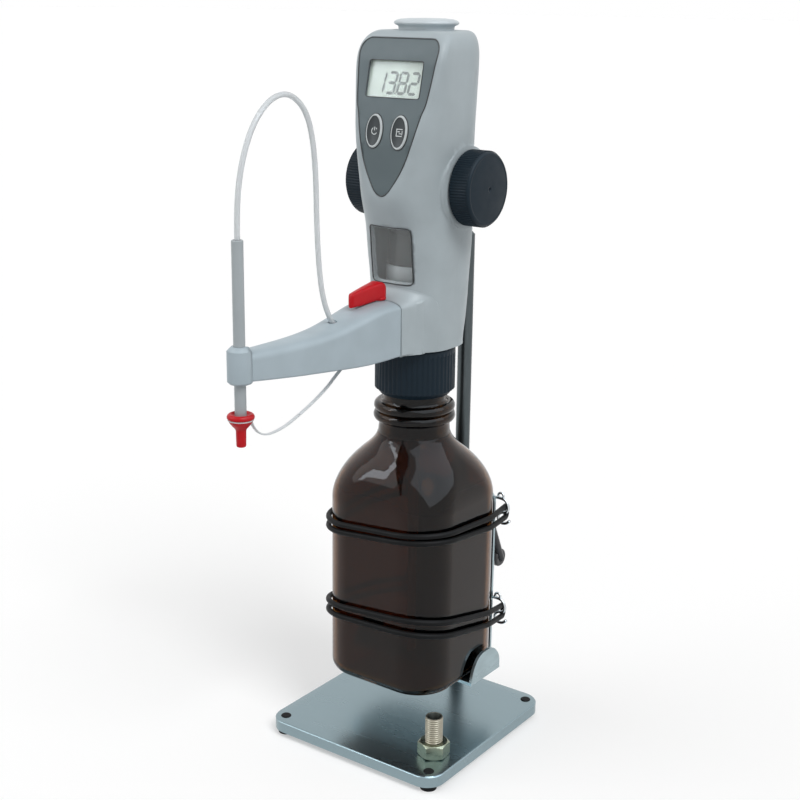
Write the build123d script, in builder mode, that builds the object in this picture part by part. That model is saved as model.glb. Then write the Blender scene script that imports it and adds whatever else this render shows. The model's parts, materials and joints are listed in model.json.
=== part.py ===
from build123d import *
from math import acos, ceil, cos, pi, radians, sin, tan
import os

# Digital bottle burette on an amber bottle, held by a small rod stand.
# Millimetres, +Z up. The rubber feet stand on z = 0. The front of the instrument, with its
# display and discharge arm, looks along -Y. The origin is the middle of the whole footprint.

# Sizes of the stand
plate_side = 140.0
plate_thickness = 8.0
plate_corner = 13.0
plate_edge = 0.8
foot_inset = 9.0
foot_height = 4.0
foot_radius = 6.0
foot_stem_radius = 3.6
foot_stem_proud = 0.6
rod_radius = 5.0
rod_top = 345.5
rod_tip_cone = 2.0
rod_screw_radius = 3.0
rod_screw_head_radius = 5.0
rod_screw_head_height = 3.5
rod_screw_length = 22.0
stud_radius = 6.0
stud_bore_radius = 4.5
stud_top = 40.0
stud_side_inset = 19.0
stud_front_inset = 29.0
nut_across_flats = 19.0
nut_height = 10.0
nut_bevel = 1.4
seat_gap = 0.05

# Sizes of the bottle
bottle_side = 94.0
bottle_corner = 27.0
bottle_wall = 3.0
bottle_floor = 4.0
bottle_bottom = 46.5
bottle_foot_fillet = 7.0
shoulder_start = 172.0
shoulder_rows = (
    (shoulder_start, bottle_side, bottle_corner),
    (185.0, 91.5, 30.0),
    (196.0, 83.0, 33.0),
    (205.0, 69.0, 32.0),
    (212.0, 55.0, 26.5),
    (218.0, 48.5, 23.6),
)
neck_start = 218.0
neck_root_radius = 24.2
neck_radius = 21.0
neck_bore_radius = 15.5
neck_ring_radius = 27.4
neck_ring_root = 23.6
neck_ring_drop = 40.0
neck_ring_height = 13.5
thread_radius = 22.3
thread_heights = (254.0, 260.0)
lip_height = 266.5

# Sizes of the collar and the swivel that carries the head
collar_radius = 26.7
collar_low = 249.0
collar_bevel = 3.3
collar_top = 278.0
collar_band_low = 274.0
collar_web = 6.0
collar_cavity_radius = 22.6
collar_ribs = 48
collar_rib_depth = 0.7
swivel_radius = 16.0
swivel_gap = 0.08
swivel_flange_radius = 19.0
swivel_flange_height = 3.2
gasket_thickness = 1.8
running_gap = 0.3

# Places of the stand and the instrument
bottle_to_plate = 3.0
rod_to_bottle = 60.0
arm_reach = 171.0
holder_seam = 2.6
holder_radius = 7.3

# Sizes of the carrier behind and below the bottle
shelf_thickness = 2.2
shelf_gap = 0.05
shelf_half_width = 52.0
shelf_front = 1.3
back_plate_half_width = 36.0
back_plate_thickness = 2.0
back_plate_gap = 0.4
back_plate_corner = 10.0
back_plate_top = 170.0
tab_thickness = 2.0
tab_rear = 35.0
tab_rise = 17.5
clamp_disc_radius = 34.0
clamp_disc_thickness = 4.6
clamp_height = 110.0
clamp_half_width = 14.0
clamp_half_height = 13.0
clamp_slit = 2.0
clamp_rear = 21.0
rod_gap = 0.06
pivot_gap = 0.06
clamp_screw_radius = 3.0
clamp_screw_back = 10.0
lever_x = 29.0
lever_radius = 2.4
lever_length = 42.0
lever_lean = 25.0
clamp_hub_radius = 6.5
clamp_hub_length = 15.0
bracket_screw_radius = 2.0
bracket_screw_head_radius = 3.6
bracket_screw_head_depth = 1.5
bracket_screw_grip = 7.0
bracket_screw_x = 9.5
bracket_screw_z = 9.0

# Sizes of the elastic bands and their hooks
band_radius = 1.9
band_gap = 0.4
hook_wire_radius = 1.2
band_join = 0.02
band_turn_gap = 1.1
hook_bend = 2.6
hook_reach = 11.0
upper_hook = 153.5
lower_hook = 78.0
upper_hook_drop = 11.5
lower_hook_drop = 10.0
upper_hook_out = 47.0
lower_hook_out = 49.0
upper_band_rise = (upper_hook, 9.6, 1.2, 2.1, 3.0)
lower_band_rise = (lower_hook, 23.0, 17.0, 5.0, 3.4)

# Sizes of the handwheels and the gear train
axle_over_cylinder = 9.0
axle_back = 8.8
axle_radius = 3.0
bush_radius = 5.0
bush_gap = 0.05
bush_length = 6.0
wheel_radius = 24.0
wheel_outer_face = 49.0
wheel_width = 15.5
wheel_ribs = 84
wheel_rib_depth = 0.6
wheel_round = 2.6
wheel_dimple_radius = 1.4
wheel_dimple_depth = 0.8
wheel_rim = 0.8
wheel_cover = 3.0
boss_radius = 26.0
boss_face = 32.8
boss_root = 25.0
gear_module = 0.8
pressure_angle = 25.0
stub_addendum = 0.8
root_depth = 1.05
backlash = 0.12
axle_pinion_teeth = 12
big_gear_teeth = 36
rack_pinion_teeth = 14
gear_face = 5.0
gear_x = 13.0
shaft_radius = 2.5
frame_plate = 2.5
frame_over_shaft = 8.0
frame_left = -9.0
frame_right = 19.0
frame_base = 377.5
leg_inner = 20.6
leg_outer = 24.0
leg_back = 8.0
leg_depth = 10.0

# Sizes of the cylinder and the piston
cylinder_radius = 17.5
cylinder_wall = 1.4
cylinder_low = 309.0
cylinder_high = 374.0
piston_low = 315.0
piston_gap = 0.05
piston_height = 8.5
piston_core_radius = 12.0
seal_height = 3.0
full_volume = 50000.0
delivered_volume = 13820.0
rack_half_width = 4.0
rack_back = 4.0

# Sizes of the valve block and the tubes in the bottle
valve_block_radius = 24.0
valve_block_top = 305.0
valve_block_low = 279.3
snout_half_width = 6.5
snout_half_height = 6.0
snout_ahead = 50.0
nozzle_radius = 2.6
nozzle_length = 3.0
channel_height = 294.0
channel_radius = 1.6
seat_ring_radius = 19.9
seat_ring_top = 322.7
spigot_radius = 13.0
spigot_low = 257.0
suction_radius = 4.0
suction_wall = 0.8
suction_low = 140.0
slide_gap = 0.1
telescope_wall = 0.8
telescope_low = 56.0
telescope_top = 190.0
filling_valve_radius = 7.0
filling_valve_length = 9.0
filling_nipple = 6.0
suction_grip = 3.0
return_x = -9.5
return_radius = 2.0
return_low = 216.0

# Sizes of the housing
housing_wall = 2.4
housing_front_wall = 3.4
panel_thickness = 1.4
seam_slope = 0.091
seam_gap = 0.05
fit_gap = 0.2
cap_radius = 20.5
cap_back = 6.8
cap_neck_radius = 17.5
cap_low = 480.2
cap_top = 485.7
cap_dome_rise = 0.9
cap_spigot_radius = 15.0
cap_spigot_depth = 8.0

# Rows of the housing from the bottom up: height, how far the front stands ahead of the bottle
# axis, half width of the flat front, half width of the body, depth of the front corner, how far
# the back stands behind the axis
housing_rows = (
    (279.0, 28.0, 4.0, 28.0, 26.0, 26.5),
    (292.0, 28.2, 4.0, 28.2, 26.0, 28.8),
    (308.0, 28.4, 4.0, 28.5, 26.0, 31.8),
    (326.0, 29.0, 4.0, 29.0, 26.0, 33.4),
    (344.0, 30.8, 4.0, 30.3, 27.0, 34.0),
    (358.0, 32.5, 4.0, 31.0, 28.5, 33.6),
    (368.0, 36.0, 4.5, 31.0, 31.5, 33.2),
    (379.0, 39.4, 5.0, 31.0, 34.0, 33.0),
    (390.0, 38.2, 10.8, 31.3, 33.0, 32.2),
    (402.0, 36.6, 16.2, 31.7, 30.5, 31.6),
    (418.0, 34.1, 21.3, 32.2, 25.5, 31.4),
    (436.0, 29.9, 25.5, 32.8, 17.5, 32.4),
    (452.0, 26.2, 28.7, 33.3, 10.0, 33.2),
    (463.0, 23.6, 29.2, 33.5, 6.5, 33.4),
    (470.0, 20.6, 28.0, 32.8, 6.0, 33.0),
    (475.0, 17.2, 24.5, 30.6, 6.5, 32.2),
    (478.5, 11.5, 17.0, 24.0, 6.5, 27.5),
)
rear_flat = 12.0
roof_low = 452.0
rear_shift = 8.0

# Sizes of the display panel and what shows through it
panel_top = 474.0
panel_half_top = 26.6
panel_shoulder = (29.2, 463.0)
panel_side = ((24.0, 430.0), (15.4, 400.0), (7.9, 386.0))
panel_tip = 379.3
display_height = 449.3
display_ahead = 24.8
display_tilt = 14.8
lcd_width = 40.8
lcd_height = 22.8
lcd_thickness = 3.0
lens_thickness = 0.8
lens_lift = 0.05
lens_edge = 1.0
board_gap = 0.7
board_thickness = 1.6
board_top = 18.0
board_bottom = 38.0
board_half_top = 22.5
board_half_bottom = 19.0
button_height = 418.5
button_ahead = 33.85
button_tilt = 10.9
button_x = 9.5
button_half_width = 6.2
button_half_height = 10.4
button_proud = 0.8
button_depth = 1.6
button_edge = 0.25
button_gap = 0.3
button_flange = 0.6
button_stem_radius = 2.0
button_stem_end = 2.5
dish_radius = 62.0
dish_depth = 0.5
switch_radius = 2.6
switch_height = 1.1
switch_drop = -31.0
window_half_width = 16.0
window_low = 323.0
window_high = 359.5
window_corner = 2.5
window_block_start = 15.0
window_thickness = 2.0
window_ledge = 1.2
panel_ledge = 2.3
housing_screw_radius = 1.5
housing_screw_head_radius = 2.8
housing_screw_head_height = 2.0
lower_screw_x = 12.0
lower_screw_height = 293.0
lower_screw_grip = 14.5
lower_screw_length = 16.0
upper_screw_x = 20.0
upper_screw_height = 458.0
upper_screw_length = 22.0
screw_post_radius = 3.4
upper_post_rear = 30.0
upper_post_front = 4.0
lower_post_rear = 27.5
lower_post_front = 21.2
screw_rows = (
    (lower_screw_x, lower_screw_height, 26.0),
    (upper_screw_x, upper_screw_height, 27.5),
)
cradle_x = 14.0
battery_radius = 5.25
battery_length = 44.5
battery_back = 19.0
battery_heights = (432.0, 444.0)

# Rows of the discharge arm from its root outwards: how far ahead of the bottle axis, half width,
# underside, top of the straight side, crown of the rounded top
arm_rows = (
    (38.5, 16.0, 279.3, 310.3, 314.4),
    (50.0, 15.5, 279.2, 309.8, 314.6),
    (70.0, 14.3, 279.5, 306.5, 311.8),
    (95.0, 12.6, 281.5, 302.4, 307.4),
    (130.0, 10.2, 284.9, 301.2, 305.8),
    (arm_reach - holder_seam - 0.1, 7.3, 289.4, 302.8, 306.6),
)
arm_wall = 2.2
arm_spigot_half = 13.0
arm_spigot_low = 283.5
arm_spigot_high = 304.0
arm_spigot_length = 9.0
arm_web = 2.5
lip_front = 38.4
lip_rows = (
    (20.0, 22.0, 279.0, 313.5, 319.5),
    (27.0, 20.5, 279.0, 312.5, 318.0),
    (31.0, 18.0, 279.0, 311.2, 315.9),
    (34.0, 16.7, 279.0, 310.6, 314.9),
    (lip_front, 16.3, 279.0, 310.4, 314.6),
)
lever_ahead = 42.0
plug_radius = 5.0
plug_low = 288.0
plug_high = 301.5
barrel_radius = 7.5
barrel_low = 286.0
barrel_high = 302.0
handle_base = 315.0
handle_hub_radius = 5.3
handle_hub_height = 2.0
handle_top = 326.5
handle_tip_ahead = 70.4
handle_tip_half = 1.6
handle_tip_top = 323.6
handle_heel_top = 323.5
stem_radius = 3.4
stem_grip = 5.0

# Sizes of the titrating tube and its cap
holder_low = 288.0
holder_high = 309.5
holder_bevel = 2.6
holder_spigot_half = 4.8
holder_spigot_low = 292.2
holder_spigot_high = 300.2
holder_spigot_length = 8.0
tube_radius = 3.4
tube_bore_radius = 2.3
tube_low = 266.0
tube_high = 369.6
tip_radius = 1.5
tip_low = 255.0
tip_high = 362.0
tip_bore_radius = 0.7
cap_ring_radius = 8.0
cap_ring_low = 265.9
cap_ring_high = 271.6
cap_cone_low = 260.3
cap_stem_radius = 3.1
cap_stem_low = 250.5
cap_neck_half = 6.6
cap_recess = 1.3
tether_ring_thickness = 1.0
tether_width = 2.4
tether_thickness = 1.0
tubing_radius = 1.6
tubing_exit = 87.6
tubing_hole_radius = 3.6
anchor_ahead = 79.5
anchor_radius = 2.6
anchor_top = 283.0
anchor_base = 279.7
anchor_height = 2.4

# Routes in the middle plane: distance ahead of the bottle axis, height
tubing_points = (
    (53.0, 294.0),
    (61.5, 294.6),
    (70.5, 296.4),
    (79.5, 300.4),
    (87.0, 307.0),
    (92.5, 315.0),
    (96.8, 325.5),
    (99.6, 339.0),
    (101.2, 355.0),
    (102.2, 372.0),
    (102.5, 388.0),
    (103.3, 403.0),
    (105.2, 418.0),
    (109.2, 431.5),
    (116.5, 440.8),
    (127.5, 446.4),
    (139.5, 444.8),
    (150.0, 438.0),
    (158.6, 427.6),
    (165.3, 413.5),
    (169.4, 397.5),
    (171.0, 380.0),
    (171.0, 362.0),
)
tether_upper_points = (
    (80.0, 276.7),
    (85.4, 273.6),
    (91.1, 269.6),
    (99.8, 265.2),
    (109.4, 261.0),
    (119.8, 257.4),
)
tether_lower_points = (
    (119.8, 257.4),
    (129.2, 254.15),
    (138.8, 252.4),
    (147.0, 252.0),
    (152.8, 253.2),
    (157.6, 256.2),
    (161.1, 260.3),
    (163.4, 264.6),
)

# Worked out from the sizes above
roof_top = housing_rows[-1][0]
front_reach = arm_reach + cap_ring_radius
rear_reach = rod_to_bottle + clamp_screw_back + clamp_hub_radius
axis_y = (front_reach - rear_reach) / 2
stand_y = axis_y - bottle_to_plate
rod_y = axis_y + rod_to_bottle
plate_top = foot_height + plate_thickness
foot_spacing = plate_side - 2 * foot_inset
stud_x = plate_side / 2 - stud_side_inset
stud_y = stand_y - plate_side / 2 + stud_front_inset
neck_ring_low = lip_height - neck_ring_drop
neck_ring_high = neck_ring_low + neck_ring_height
neck_ring_middle = (neck_ring_low + neck_ring_high) / 2 + 0.15
bottle_back_y = axis_y + bottle_side / 2
shelf_top = bottle_bottom - shelf_gap
back_plate_y = bottle_back_y + back_plate_gap
back_plate_rear = back_plate_y + back_plate_thickness - axis_y
wire_y = back_plate_y + back_plate_thickness + hook_wire_radius
disc_y = back_plate_y + back_plate_thickness
clamp_y = disc_y + clamp_disc_thickness
clamp_screw_y = rod_y + clamp_screw_back
lever_direction = (0, -sin(radians(lever_lean)), cos(radians(lever_lean)))
band_corner = bottle_corner + band_gap + band_radius
hook_rows = (
    (upper_hook, upper_hook_drop, upper_hook_out),
    (lower_hook, lower_hook_drop, lower_hook_out),
)
bottle_axis = Axis((0, axis_y, 0), (0, 0, 1))
tube_axis = Axis((0, axis_y - arm_reach, 0), (0, 0, 1))
cylinder_area = pi * cylinder_radius**2
stroke = full_volume / cylinder_area
piston_rest = piston_low + (full_volume - delivered_volume) / cylinder_area
rack_pinion_pitch = gear_module * rack_pinion_teeth / 2
axle_pinion_pitch = gear_module * axle_pinion_teeth / 2
big_gear_pitch = gear_module * big_gear_teeth / 2
axle_height = cylinder_high + axle_over_cylinder
shaft_height = axle_height + axle_pinion_pitch + big_gear_pitch
axle_y = axis_y + axle_back
wheel_inner_face = wheel_outer_face - wheel_width
tube_y = axis_y - arm_reach
lever_y = axis_y - lever_ahead
cap_dome_radius = ((cap_radius - 0.8) ** 2 + cap_dome_rise**2) / (2 * cap_dome_rise)
swivel_low = lip_height + gasket_thickness + fit_gap
slope = tan(radians(pressure_angle))


def level(height, x=0.0, y=axis_y):
    """A level plane at a height, centred over the bottle axis unless told otherwise."""
    return Plane(origin=(x, y, height), x_dir=(1, 0, 0), z_dir=(0, 0, 1))


def facing_front(y, x=0.0, height=0.0):
    """An upright plane that looks to the front, with its first axis along +X and second along +Z."""
    return Plane(origin=(x, y, height), x_dir=(1, 0, 0), z_dir=(0, -1, 0))


def facing_right(x, y=0.0, height=0.0):
    """An upright plane that looks along +X, with its first axis along +Y and second along +Z."""
    return Plane(origin=(x, y, height), x_dir=(0, 1, 0), z_dir=(1, 0, 0))


def tilted_front(ahead, height, tilt):
    """A plane on the sloping face of the head, looking out of it, ahead of the bottle axis."""
    out = (0, -cos(radians(tilt)), sin(radians(tilt)))
    return Plane(origin=(0, axis_y - ahead, height), x_dir=(1, 0, 0), z_dir=out)


def housing_form(front_inset, side_inset, rear_inset, top_inset):
    """The outer form of the head, or the same form set in by a wall."""
    with BuildPart() as form:
        for height, ahead, flat, half, corner, behind in housing_rows:
            lowered = height - top_inset * max(0.0, height - roof_low) / (roof_top - roof_low)
            front = axis_y - ahead + front_inset
            side = half - side_inset
            rear = axis_y + behind - rear_inset
            edge = flat - side_inset * 0.6
            depth = corner - front_inset * 0.5
            with BuildSketch(level(lowered, 0, 0)):
                with BuildLine():
                    Line((0, front), (edge, front))
                    EllipticalCenterArc((edge, front + depth), side - edge, depth, 270, arc_size=90)
                    Line((side, front + depth), (side, axis_y + rear_shift))
                    EllipticalCenterArc(
                        (rear_flat, axis_y + rear_shift), side - rear_flat, rear - axis_y - rear_shift, 0,
                        arc_size=90,
                    )
                    Line((rear_flat, rear), (0, rear))
                    mirror(about=Plane.YZ)
                make_face()
        loft()
    return form.part


def arm_form(inset, first, last):
    """The arm between two of its rows, or the same form set in by a wall."""
    with BuildPart() as form:
        for ahead, half, under, shoulder, crown in arm_rows[first : last + 1]:
            with BuildSketch(facing_front(axis_y - ahead)):
                with BuildLine():
                    Line((half - inset, under + inset), (half - inset, shoulder - inset))
                    ThreePointArc(
                        (half - inset, shoulder - inset),
                        (0, crown - inset),
                        (inset - half, shoulder - inset),
                    )
                    Line((inset - half, shoulder - inset), (inset - half, under + inset))
                    Line((inset - half, under + inset), (half - inset, under + inset))
                make_face()
        loft()
    return form.part


def gear_points(teeth, first_angle):
    """Outline of an involute spur gear with stub teeth, its first tooth centred at first_angle."""
    pitch = gear_module * teeth / 2
    base = pitch * cos(radians(pressure_angle))
    tip = pitch + stub_addendum * gear_module
    root = pitch - root_depth * gear_module

    def roll(radius):
        turn = acos(min(1.0, base / radius))
        return tan(turn) - turn

    half_pitch = pi / (2 * teeth) - backlash / (2 * pitch)
    radii = (root, max(base, root + 0.01), pitch, tip)
    halves = [half_pitch + roll(pitch) - roll(max(radius, base)) for radius in radii]
    points = []
    for tooth in range(teeth):
        middle = first_angle + 2 * pi * tooth / teeth
        for radius, half in zip(radii, halves):
            points.append((radius * cos(middle - half), radius * sin(middle - half)))
        for radius, half in zip(reversed(radii), reversed(halves)):
            points.append((radius * cos(middle + half), radius * sin(middle + half)))
    return points


def ribbed_points(outer, depth, ribs):
    """Outline of a round grip with V-shaped ribs."""
    points = []
    for rib in range(ribs):
        for share, radius in ((0.0, outer - depth), (0.3, outer), (0.7, outer)):
            angle = 2 * pi * (rib + share) / ribs
            points.append((radius * cos(angle), radius * sin(angle)))
    return points


# Base plate, feet, rod and stud
with BuildPart() as base_plate:
    with BuildSketch(level(foot_height, 0, stand_y)):
        RectangleRounded(plate_side, plate_side, plate_corner)
    extrude(amount=plate_thickness)
    chamfer(base_plate.faces().sort_by(Axis.Z)[-1].edges(), plate_edge)
    with BuildSketch(level(foot_height, 0, stand_y)):
        with GridLocations(foot_spacing, foot_spacing, 2, 2):
            Circle(foot_stem_radius)
    extrude(amount=plate_thickness, mode=Mode.SUBTRACT)
    with BuildSketch(level(foot_height, stud_x, stud_y)):
        Circle(stud_radius)
    extrude(amount=plate_thickness, mode=Mode.SUBTRACT)
    with Locations(Plane(origin=(0, rod_y, foot_height), x_dir=(1, 0, 0), z_dir=(0, 0, -1))):
        CounterBoreHole(
            rod_screw_radius + seat_gap, rod_screw_head_radius + fit_gap, rod_screw_head_height
        )

with BuildPart() as rubber_feet:
    with BuildSketch(level(foot_height, 0, stand_y)):
        with GridLocations(foot_spacing, foot_spacing, 2, 2):
            Circle(foot_radius)
    extrude(amount=-foot_height, taper=8)
    with BuildSketch(level(foot_height, 0, stand_y)):
        with GridLocations(foot_spacing, foot_spacing, 2, 2):
            Circle(foot_stem_radius - seat_gap)
    extrude(amount=plate_thickness + foot_stem_proud)
    chamfer(rubber_feet.edges().group_by(Axis.Z)[-1], foot_stem_proud * 0.8)

with BuildPart() as stand_rod:
    with BuildSketch(level(plate_top, 0, rod_y)):
        Circle(rod_radius)
    extrude(amount=rod_top - plate_top)
    chamfer(stand_rod.faces().sort_by(Axis.Z)[-1].edges(), rod_tip_cone)
    with BuildSketch(level(plate_top, 0, rod_y)):
        Circle(rod_screw_radius + seat_gap)
    extrude(amount=rod_screw_length - plate_thickness + 1, mode=Mode.SUBTRACT)

with BuildPart() as rod_screw:
    with BuildSketch(level(foot_height, 0, rod_y)):
        Circle(rod_screw_head_radius)
    extrude(amount=rod_screw_head_height)
    with BuildSketch(level(foot_height, 0, rod_y)):
        Circle(rod_screw_radius)
    extrude(amount=rod_screw_length)
    with BuildSketch(level(foot_height, 0, rod_y)):
        RegularPolygon(rod_screw_head_radius * 0.55, 6)
    extrude(amount=rod_screw_head_height * 0.65, mode=Mode.SUBTRACT)

with BuildPart() as hollow_stud:
    with BuildSketch(level(foot_height, stud_x, stud_y)):
        Circle(stud_radius - seat_gap)
        Circle(stud_bore_radius, mode=Mode.SUBTRACT)
    extrude(amount=stud_top - foot_height)
    chamfer(hollow_stud.edges().group_by(Axis.Z)[-1], 0.5)

with BuildPart() as stud_nut:
    with BuildSketch(level(plate_top, stud_x, stud_y)):
        RegularPolygon(nut_across_flats / 2, 6, major_radius=False)
    extrude(amount=nut_height)
    with BuildSketch(facing_front(stud_y)):
        with BuildLine():
            Polyline(
                (stud_x, plate_top),
                (stud_x + nut_across_flats * 0.6, plate_top),
                (stud_x + nut_across_flats * 0.6, plate_top + nut_height - nut_bevel),
                (stud_x + nut_across_flats / 2 - nut_bevel * 0.3, plate_top + nut_height),
                (stud_x, plate_top + nut_height),
                close=True,
            )
        make_face()
    revolve(axis=Axis((stud_x, stud_y, 0), (0, 0, 1)), mode=Mode.INTERSECT)
    with BuildSketch(level(plate_top, stud_x, stud_y)):
        Circle(stud_radius)
    extrude(amount=nut_height, mode=Mode.SUBTRACT)


# Bottle with its gasket and threaded collar
def bottle_form(inset, low):
    """The square bottle up to the root of its neck, or its hollow when inset by the wall."""
    with BuildPart() as form:
        with BuildSketch(level(low)):
            RectangleRounded(bottle_side - 2 * inset, bottle_side - 2 * inset, bottle_corner - inset)
        extrude(amount=shoulder_start - low)
        fillet(form.edges().group_by(Axis.Z)[0], bottle_foot_fillet - inset)
        for height, side, corner in shoulder_rows:
            with BuildSketch(level(height)):
                RectangleRounded(side - 2 * inset, side - 2 * inset, corner - inset)
        loft()
    return form.part


bottle_body = bottle_form(0, bottle_bottom)
bottle_hollow = bottle_form(bottle_wall, bottle_bottom + bottle_floor)
with BuildPart() as bottle:
    add(bottle_body)
    with BuildSketch(facing_front(axis_y)):
        with BuildLine():
            Polyline(
                (0, neck_start - 2),
                (neck_root_radius, neck_start - 2),
                (neck_root_radius, neck_start),
                (neck_ring_root, neck_ring_low),
            )
            ThreePointArc(
                (neck_ring_root, neck_ring_low),
                (neck_ring_radius, neck_ring_low + 3.6),
                (neck_ring_root + 1.6, neck_ring_middle),
            )
            ThreePointArc(
                (neck_ring_root + 1.6, neck_ring_middle),
                (neck_ring_radius - 0.3, neck_ring_high - 3.4),
                (neck_radius + 1.2, neck_ring_high),
            )
            Polyline(
                (neck_radius + 1.2, neck_ring_high),
                (neck_radius, neck_ring_high + 2),
                (neck_radius, lip_height),
                (0, lip_height),
                (0, neck_start - 2),
            )
        make_face()
    revolve(axis=bottle_axis)
    for height in thread_heights:
        with BuildSketch(facing_front(axis_y)):
            with BuildLine():
                Polyline(
                    (neck_radius - 0.2, height - 1.5),
                    (thread_radius, height - 0.5),
                    (thread_radius, height + 0.5),
                    (neck_radius - 0.2, height + 1.5),
                    close=True,
                )
            make_face()
        revolve(axis=bottle_axis)
    add(bottle_hollow, mode=Mode.SUBTRACT)
    with BuildSketch(level(neck_start - 4)):
        Circle(neck_bore_radius)
    extrude(amount=lip_height - neck_start + 4, mode=Mode.SUBTRACT)

with BuildPart() as neck_gasket:
    with BuildSketch(level(lip_height)):
        Circle(neck_radius)
        Circle(neck_bore_radius, mode=Mode.SUBTRACT)
    extrude(amount=gasket_thickness)

with BuildPart() as threaded_collar:
    with BuildSketch(level(collar_low + collar_bevel)):
        Polygon(*ribbed_points(collar_radius, collar_rib_depth, collar_ribs), align=None)
    extrude(amount=collar_band_low - collar_low - collar_bevel)
    with BuildSketch(facing_front(axis_y)):
        with BuildLine():
            Polyline(
                (0, collar_low),
                (collar_radius - collar_rib_depth - collar_bevel * 0.8, collar_low),
                (collar_radius - collar_rib_depth, collar_low + collar_bevel),
                (collar_radius - collar_rib_depth, collar_band_low),
                (collar_radius - 0.1, collar_band_low),
                (collar_radius - 0.1, collar_top - 1),
                (collar_radius - 1.1, collar_top),
                (0, collar_top),
                close=True,
            )
        make_face()
    revolve(axis=bottle_axis)
    with BuildSketch(level(collar_low)):
        Circle(collar_cavity_radius)
    extrude(amount=collar_top - collar_web - collar_low, mode=Mode.SUBTRACT)
    with BuildSketch(level(collar_top)):
        Circle(swivel_radius + swivel_gap)
    extrude(amount=-collar_web - 1, mode=Mode.SUBTRACT)

# Carrier that holds the bottle and slides on the rod
with BuildPart() as carrier_bracket:
    with BuildSketch(level(shelf_top, 0, axis_y)):
        with BuildLine():
            Polyline(
                (shelf_half_width, -shelf_front),
                (shelf_half_width, tab_rear),
                (back_plate_half_width, back_plate_rear),
                (-back_plate_half_width, back_plate_rear),
                (-shelf_half_width, tab_rear),
                (-shelf_half_width, -shelf_front),
                close=True,
            )
        make_face()
    extrude(amount=-shelf_thickness)
    with BuildSketch(facing_front(back_plate_y, 0, shelf_top - shelf_thickness)):
        with Locations((0, (back_plate_top - shelf_top + shelf_thickness) / 2)):
            Rectangle(2 * back_plate_half_width, back_plate_top - shelf_top + shelf_thickness)
    extrude(amount=-back_plate_thickness)
    top_corners = carrier_bracket.edges().filter_by(Axis.Y).group_by(Axis.Z)[-1]
    fillet(top_corners, back_plate_corner)
    for side in (-1, 1):
        with BuildSketch(facing_right(side * (shelf_half_width - tab_thickness / 2), axis_y)):
            with BuildLine():
                Polyline(
                    (-shelf_front, shelf_top - shelf_thickness),
                    (tab_rear, shelf_top - shelf_thickness),
                    (tab_rear, shelf_top + tab_rise * 0.45),
                    (tab_rear - 9, shelf_top + tab_rise),
                    (-shelf_front + 11, shelf_top + tab_rise),
                    (-shelf_front + 3, shelf_top + tab_rise * 0.55),
                    close=True,
                )
            make_face()
        extrude(amount=tab_thickness / 2, both=True)
    with BuildSketch(facing_front(back_plate_y, 0, clamp_height)):
        with GridLocations(2 * bracket_screw_x, 2 * bracket_screw_z, 2, 2):
            Circle(bracket_screw_radius + seat_gap)
    extrude(amount=-back_plate_thickness, mode=Mode.SUBTRACT)
    with BuildSketch(facing_front(back_plate_y, 0, clamp_height)):
        with GridLocations(2 * bracket_screw_x, 2 * bracket_screw_z, 2, 2):
            Circle(bracket_screw_head_radius + seat_gap)
    extrude(amount=-bracket_screw_head_depth, taper=45, mode=Mode.SUBTRACT)

with BuildPart() as clamp_disc:
    with BuildSketch(facing_front(disc_y, 0, clamp_height)):
        Circle(clamp_disc_radius)
    extrude(amount=-clamp_disc_thickness)
    chamfer(clamp_disc.edges().group_by(Axis.Y)[-1], 0.8)
    with BuildSketch(facing_front(disc_y, 0, clamp_height)):
        with GridLocations(2 * bracket_screw_x, 2 * bracket_screw_z, 2, 2):
            Circle(bracket_screw_radius + seat_gap)
    extrude(amount=-clamp_disc_thickness, mode=Mode.SUBTRACT)

with BuildPart() as rod_clamp:
    with BuildSketch(level(clamp_height - clamp_half_height, 0, clamp_y)):
        with BuildLine():
            Polyline(
                (-clamp_half_width, 0),
                (clamp_half_width, 0),
                (clamp_half_width, clamp_rear - 4),
                (clamp_half_width - 4, clamp_rear),
                (4 - clamp_half_width, clamp_rear),
                (-clamp_half_width, clamp_rear - 4),
                close=True,
            )
        make_face()
        with Locations((0, rod_y - clamp_y)):
            Circle(rod_radius + rod_gap, mode=Mode.SUBTRACT)
        with Locations((0, rod_y - clamp_y + rod_radius + clamp_rear / 2)):
            Rectangle(clamp_slit, clamp_rear, mode=Mode.SUBTRACT)
    extrude(amount=2 * clamp_half_height)
    with BuildSketch(facing_right(-clamp_half_width, clamp_screw_y, clamp_height)):
        Circle(clamp_screw_radius + seat_gap)
    extrude(amount=2 * clamp_half_width, mode=Mode.SUBTRACT)
    with BuildSketch(facing_front(clamp_y, 0, clamp_height)):
        with GridLocations(2 * bracket_screw_x, 2 * bracket_screw_z, 2, 2):
            Circle(bracket_screw_radius + seat_gap)
    extrude(amount=-bracket_screw_grip - 0.5, mode=Mode.SUBTRACT)

with BuildPart() as bracket_screws:
    with BuildSketch(facing_front(back_plate_y, 0, clamp_height)):
        with GridLocations(2 * bracket_screw_x, 2 * bracket_screw_z, 2, 2):
            Circle(bracket_screw_head_radius)
    extrude(amount=-bracket_screw_head_depth, taper=45)
    with BuildSketch(facing_front(back_plate_y, 0, clamp_height)):
        with GridLocations(2 * bracket_screw_x, 2 * bracket_screw_z, 2, 2):
            Circle(bracket_screw_radius)
    extrude(amount=back_plate_y - clamp_y - bracket_screw_grip)

with BuildPart() as clamp_screw:
    with BuildSketch(facing_right(-clamp_half_width, clamp_screw_y, clamp_height)):
        Circle(clamp_screw_radius)
    extrude(amount=clamp_half_width + lever_x)
    with BuildSketch(facing_right(-clamp_half_width, clamp_screw_y, clamp_height)):
        RegularPolygon(clamp_screw_radius * 1.8, 6)
    extrude(amount=-clamp_screw_radius * 1.4)

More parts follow.
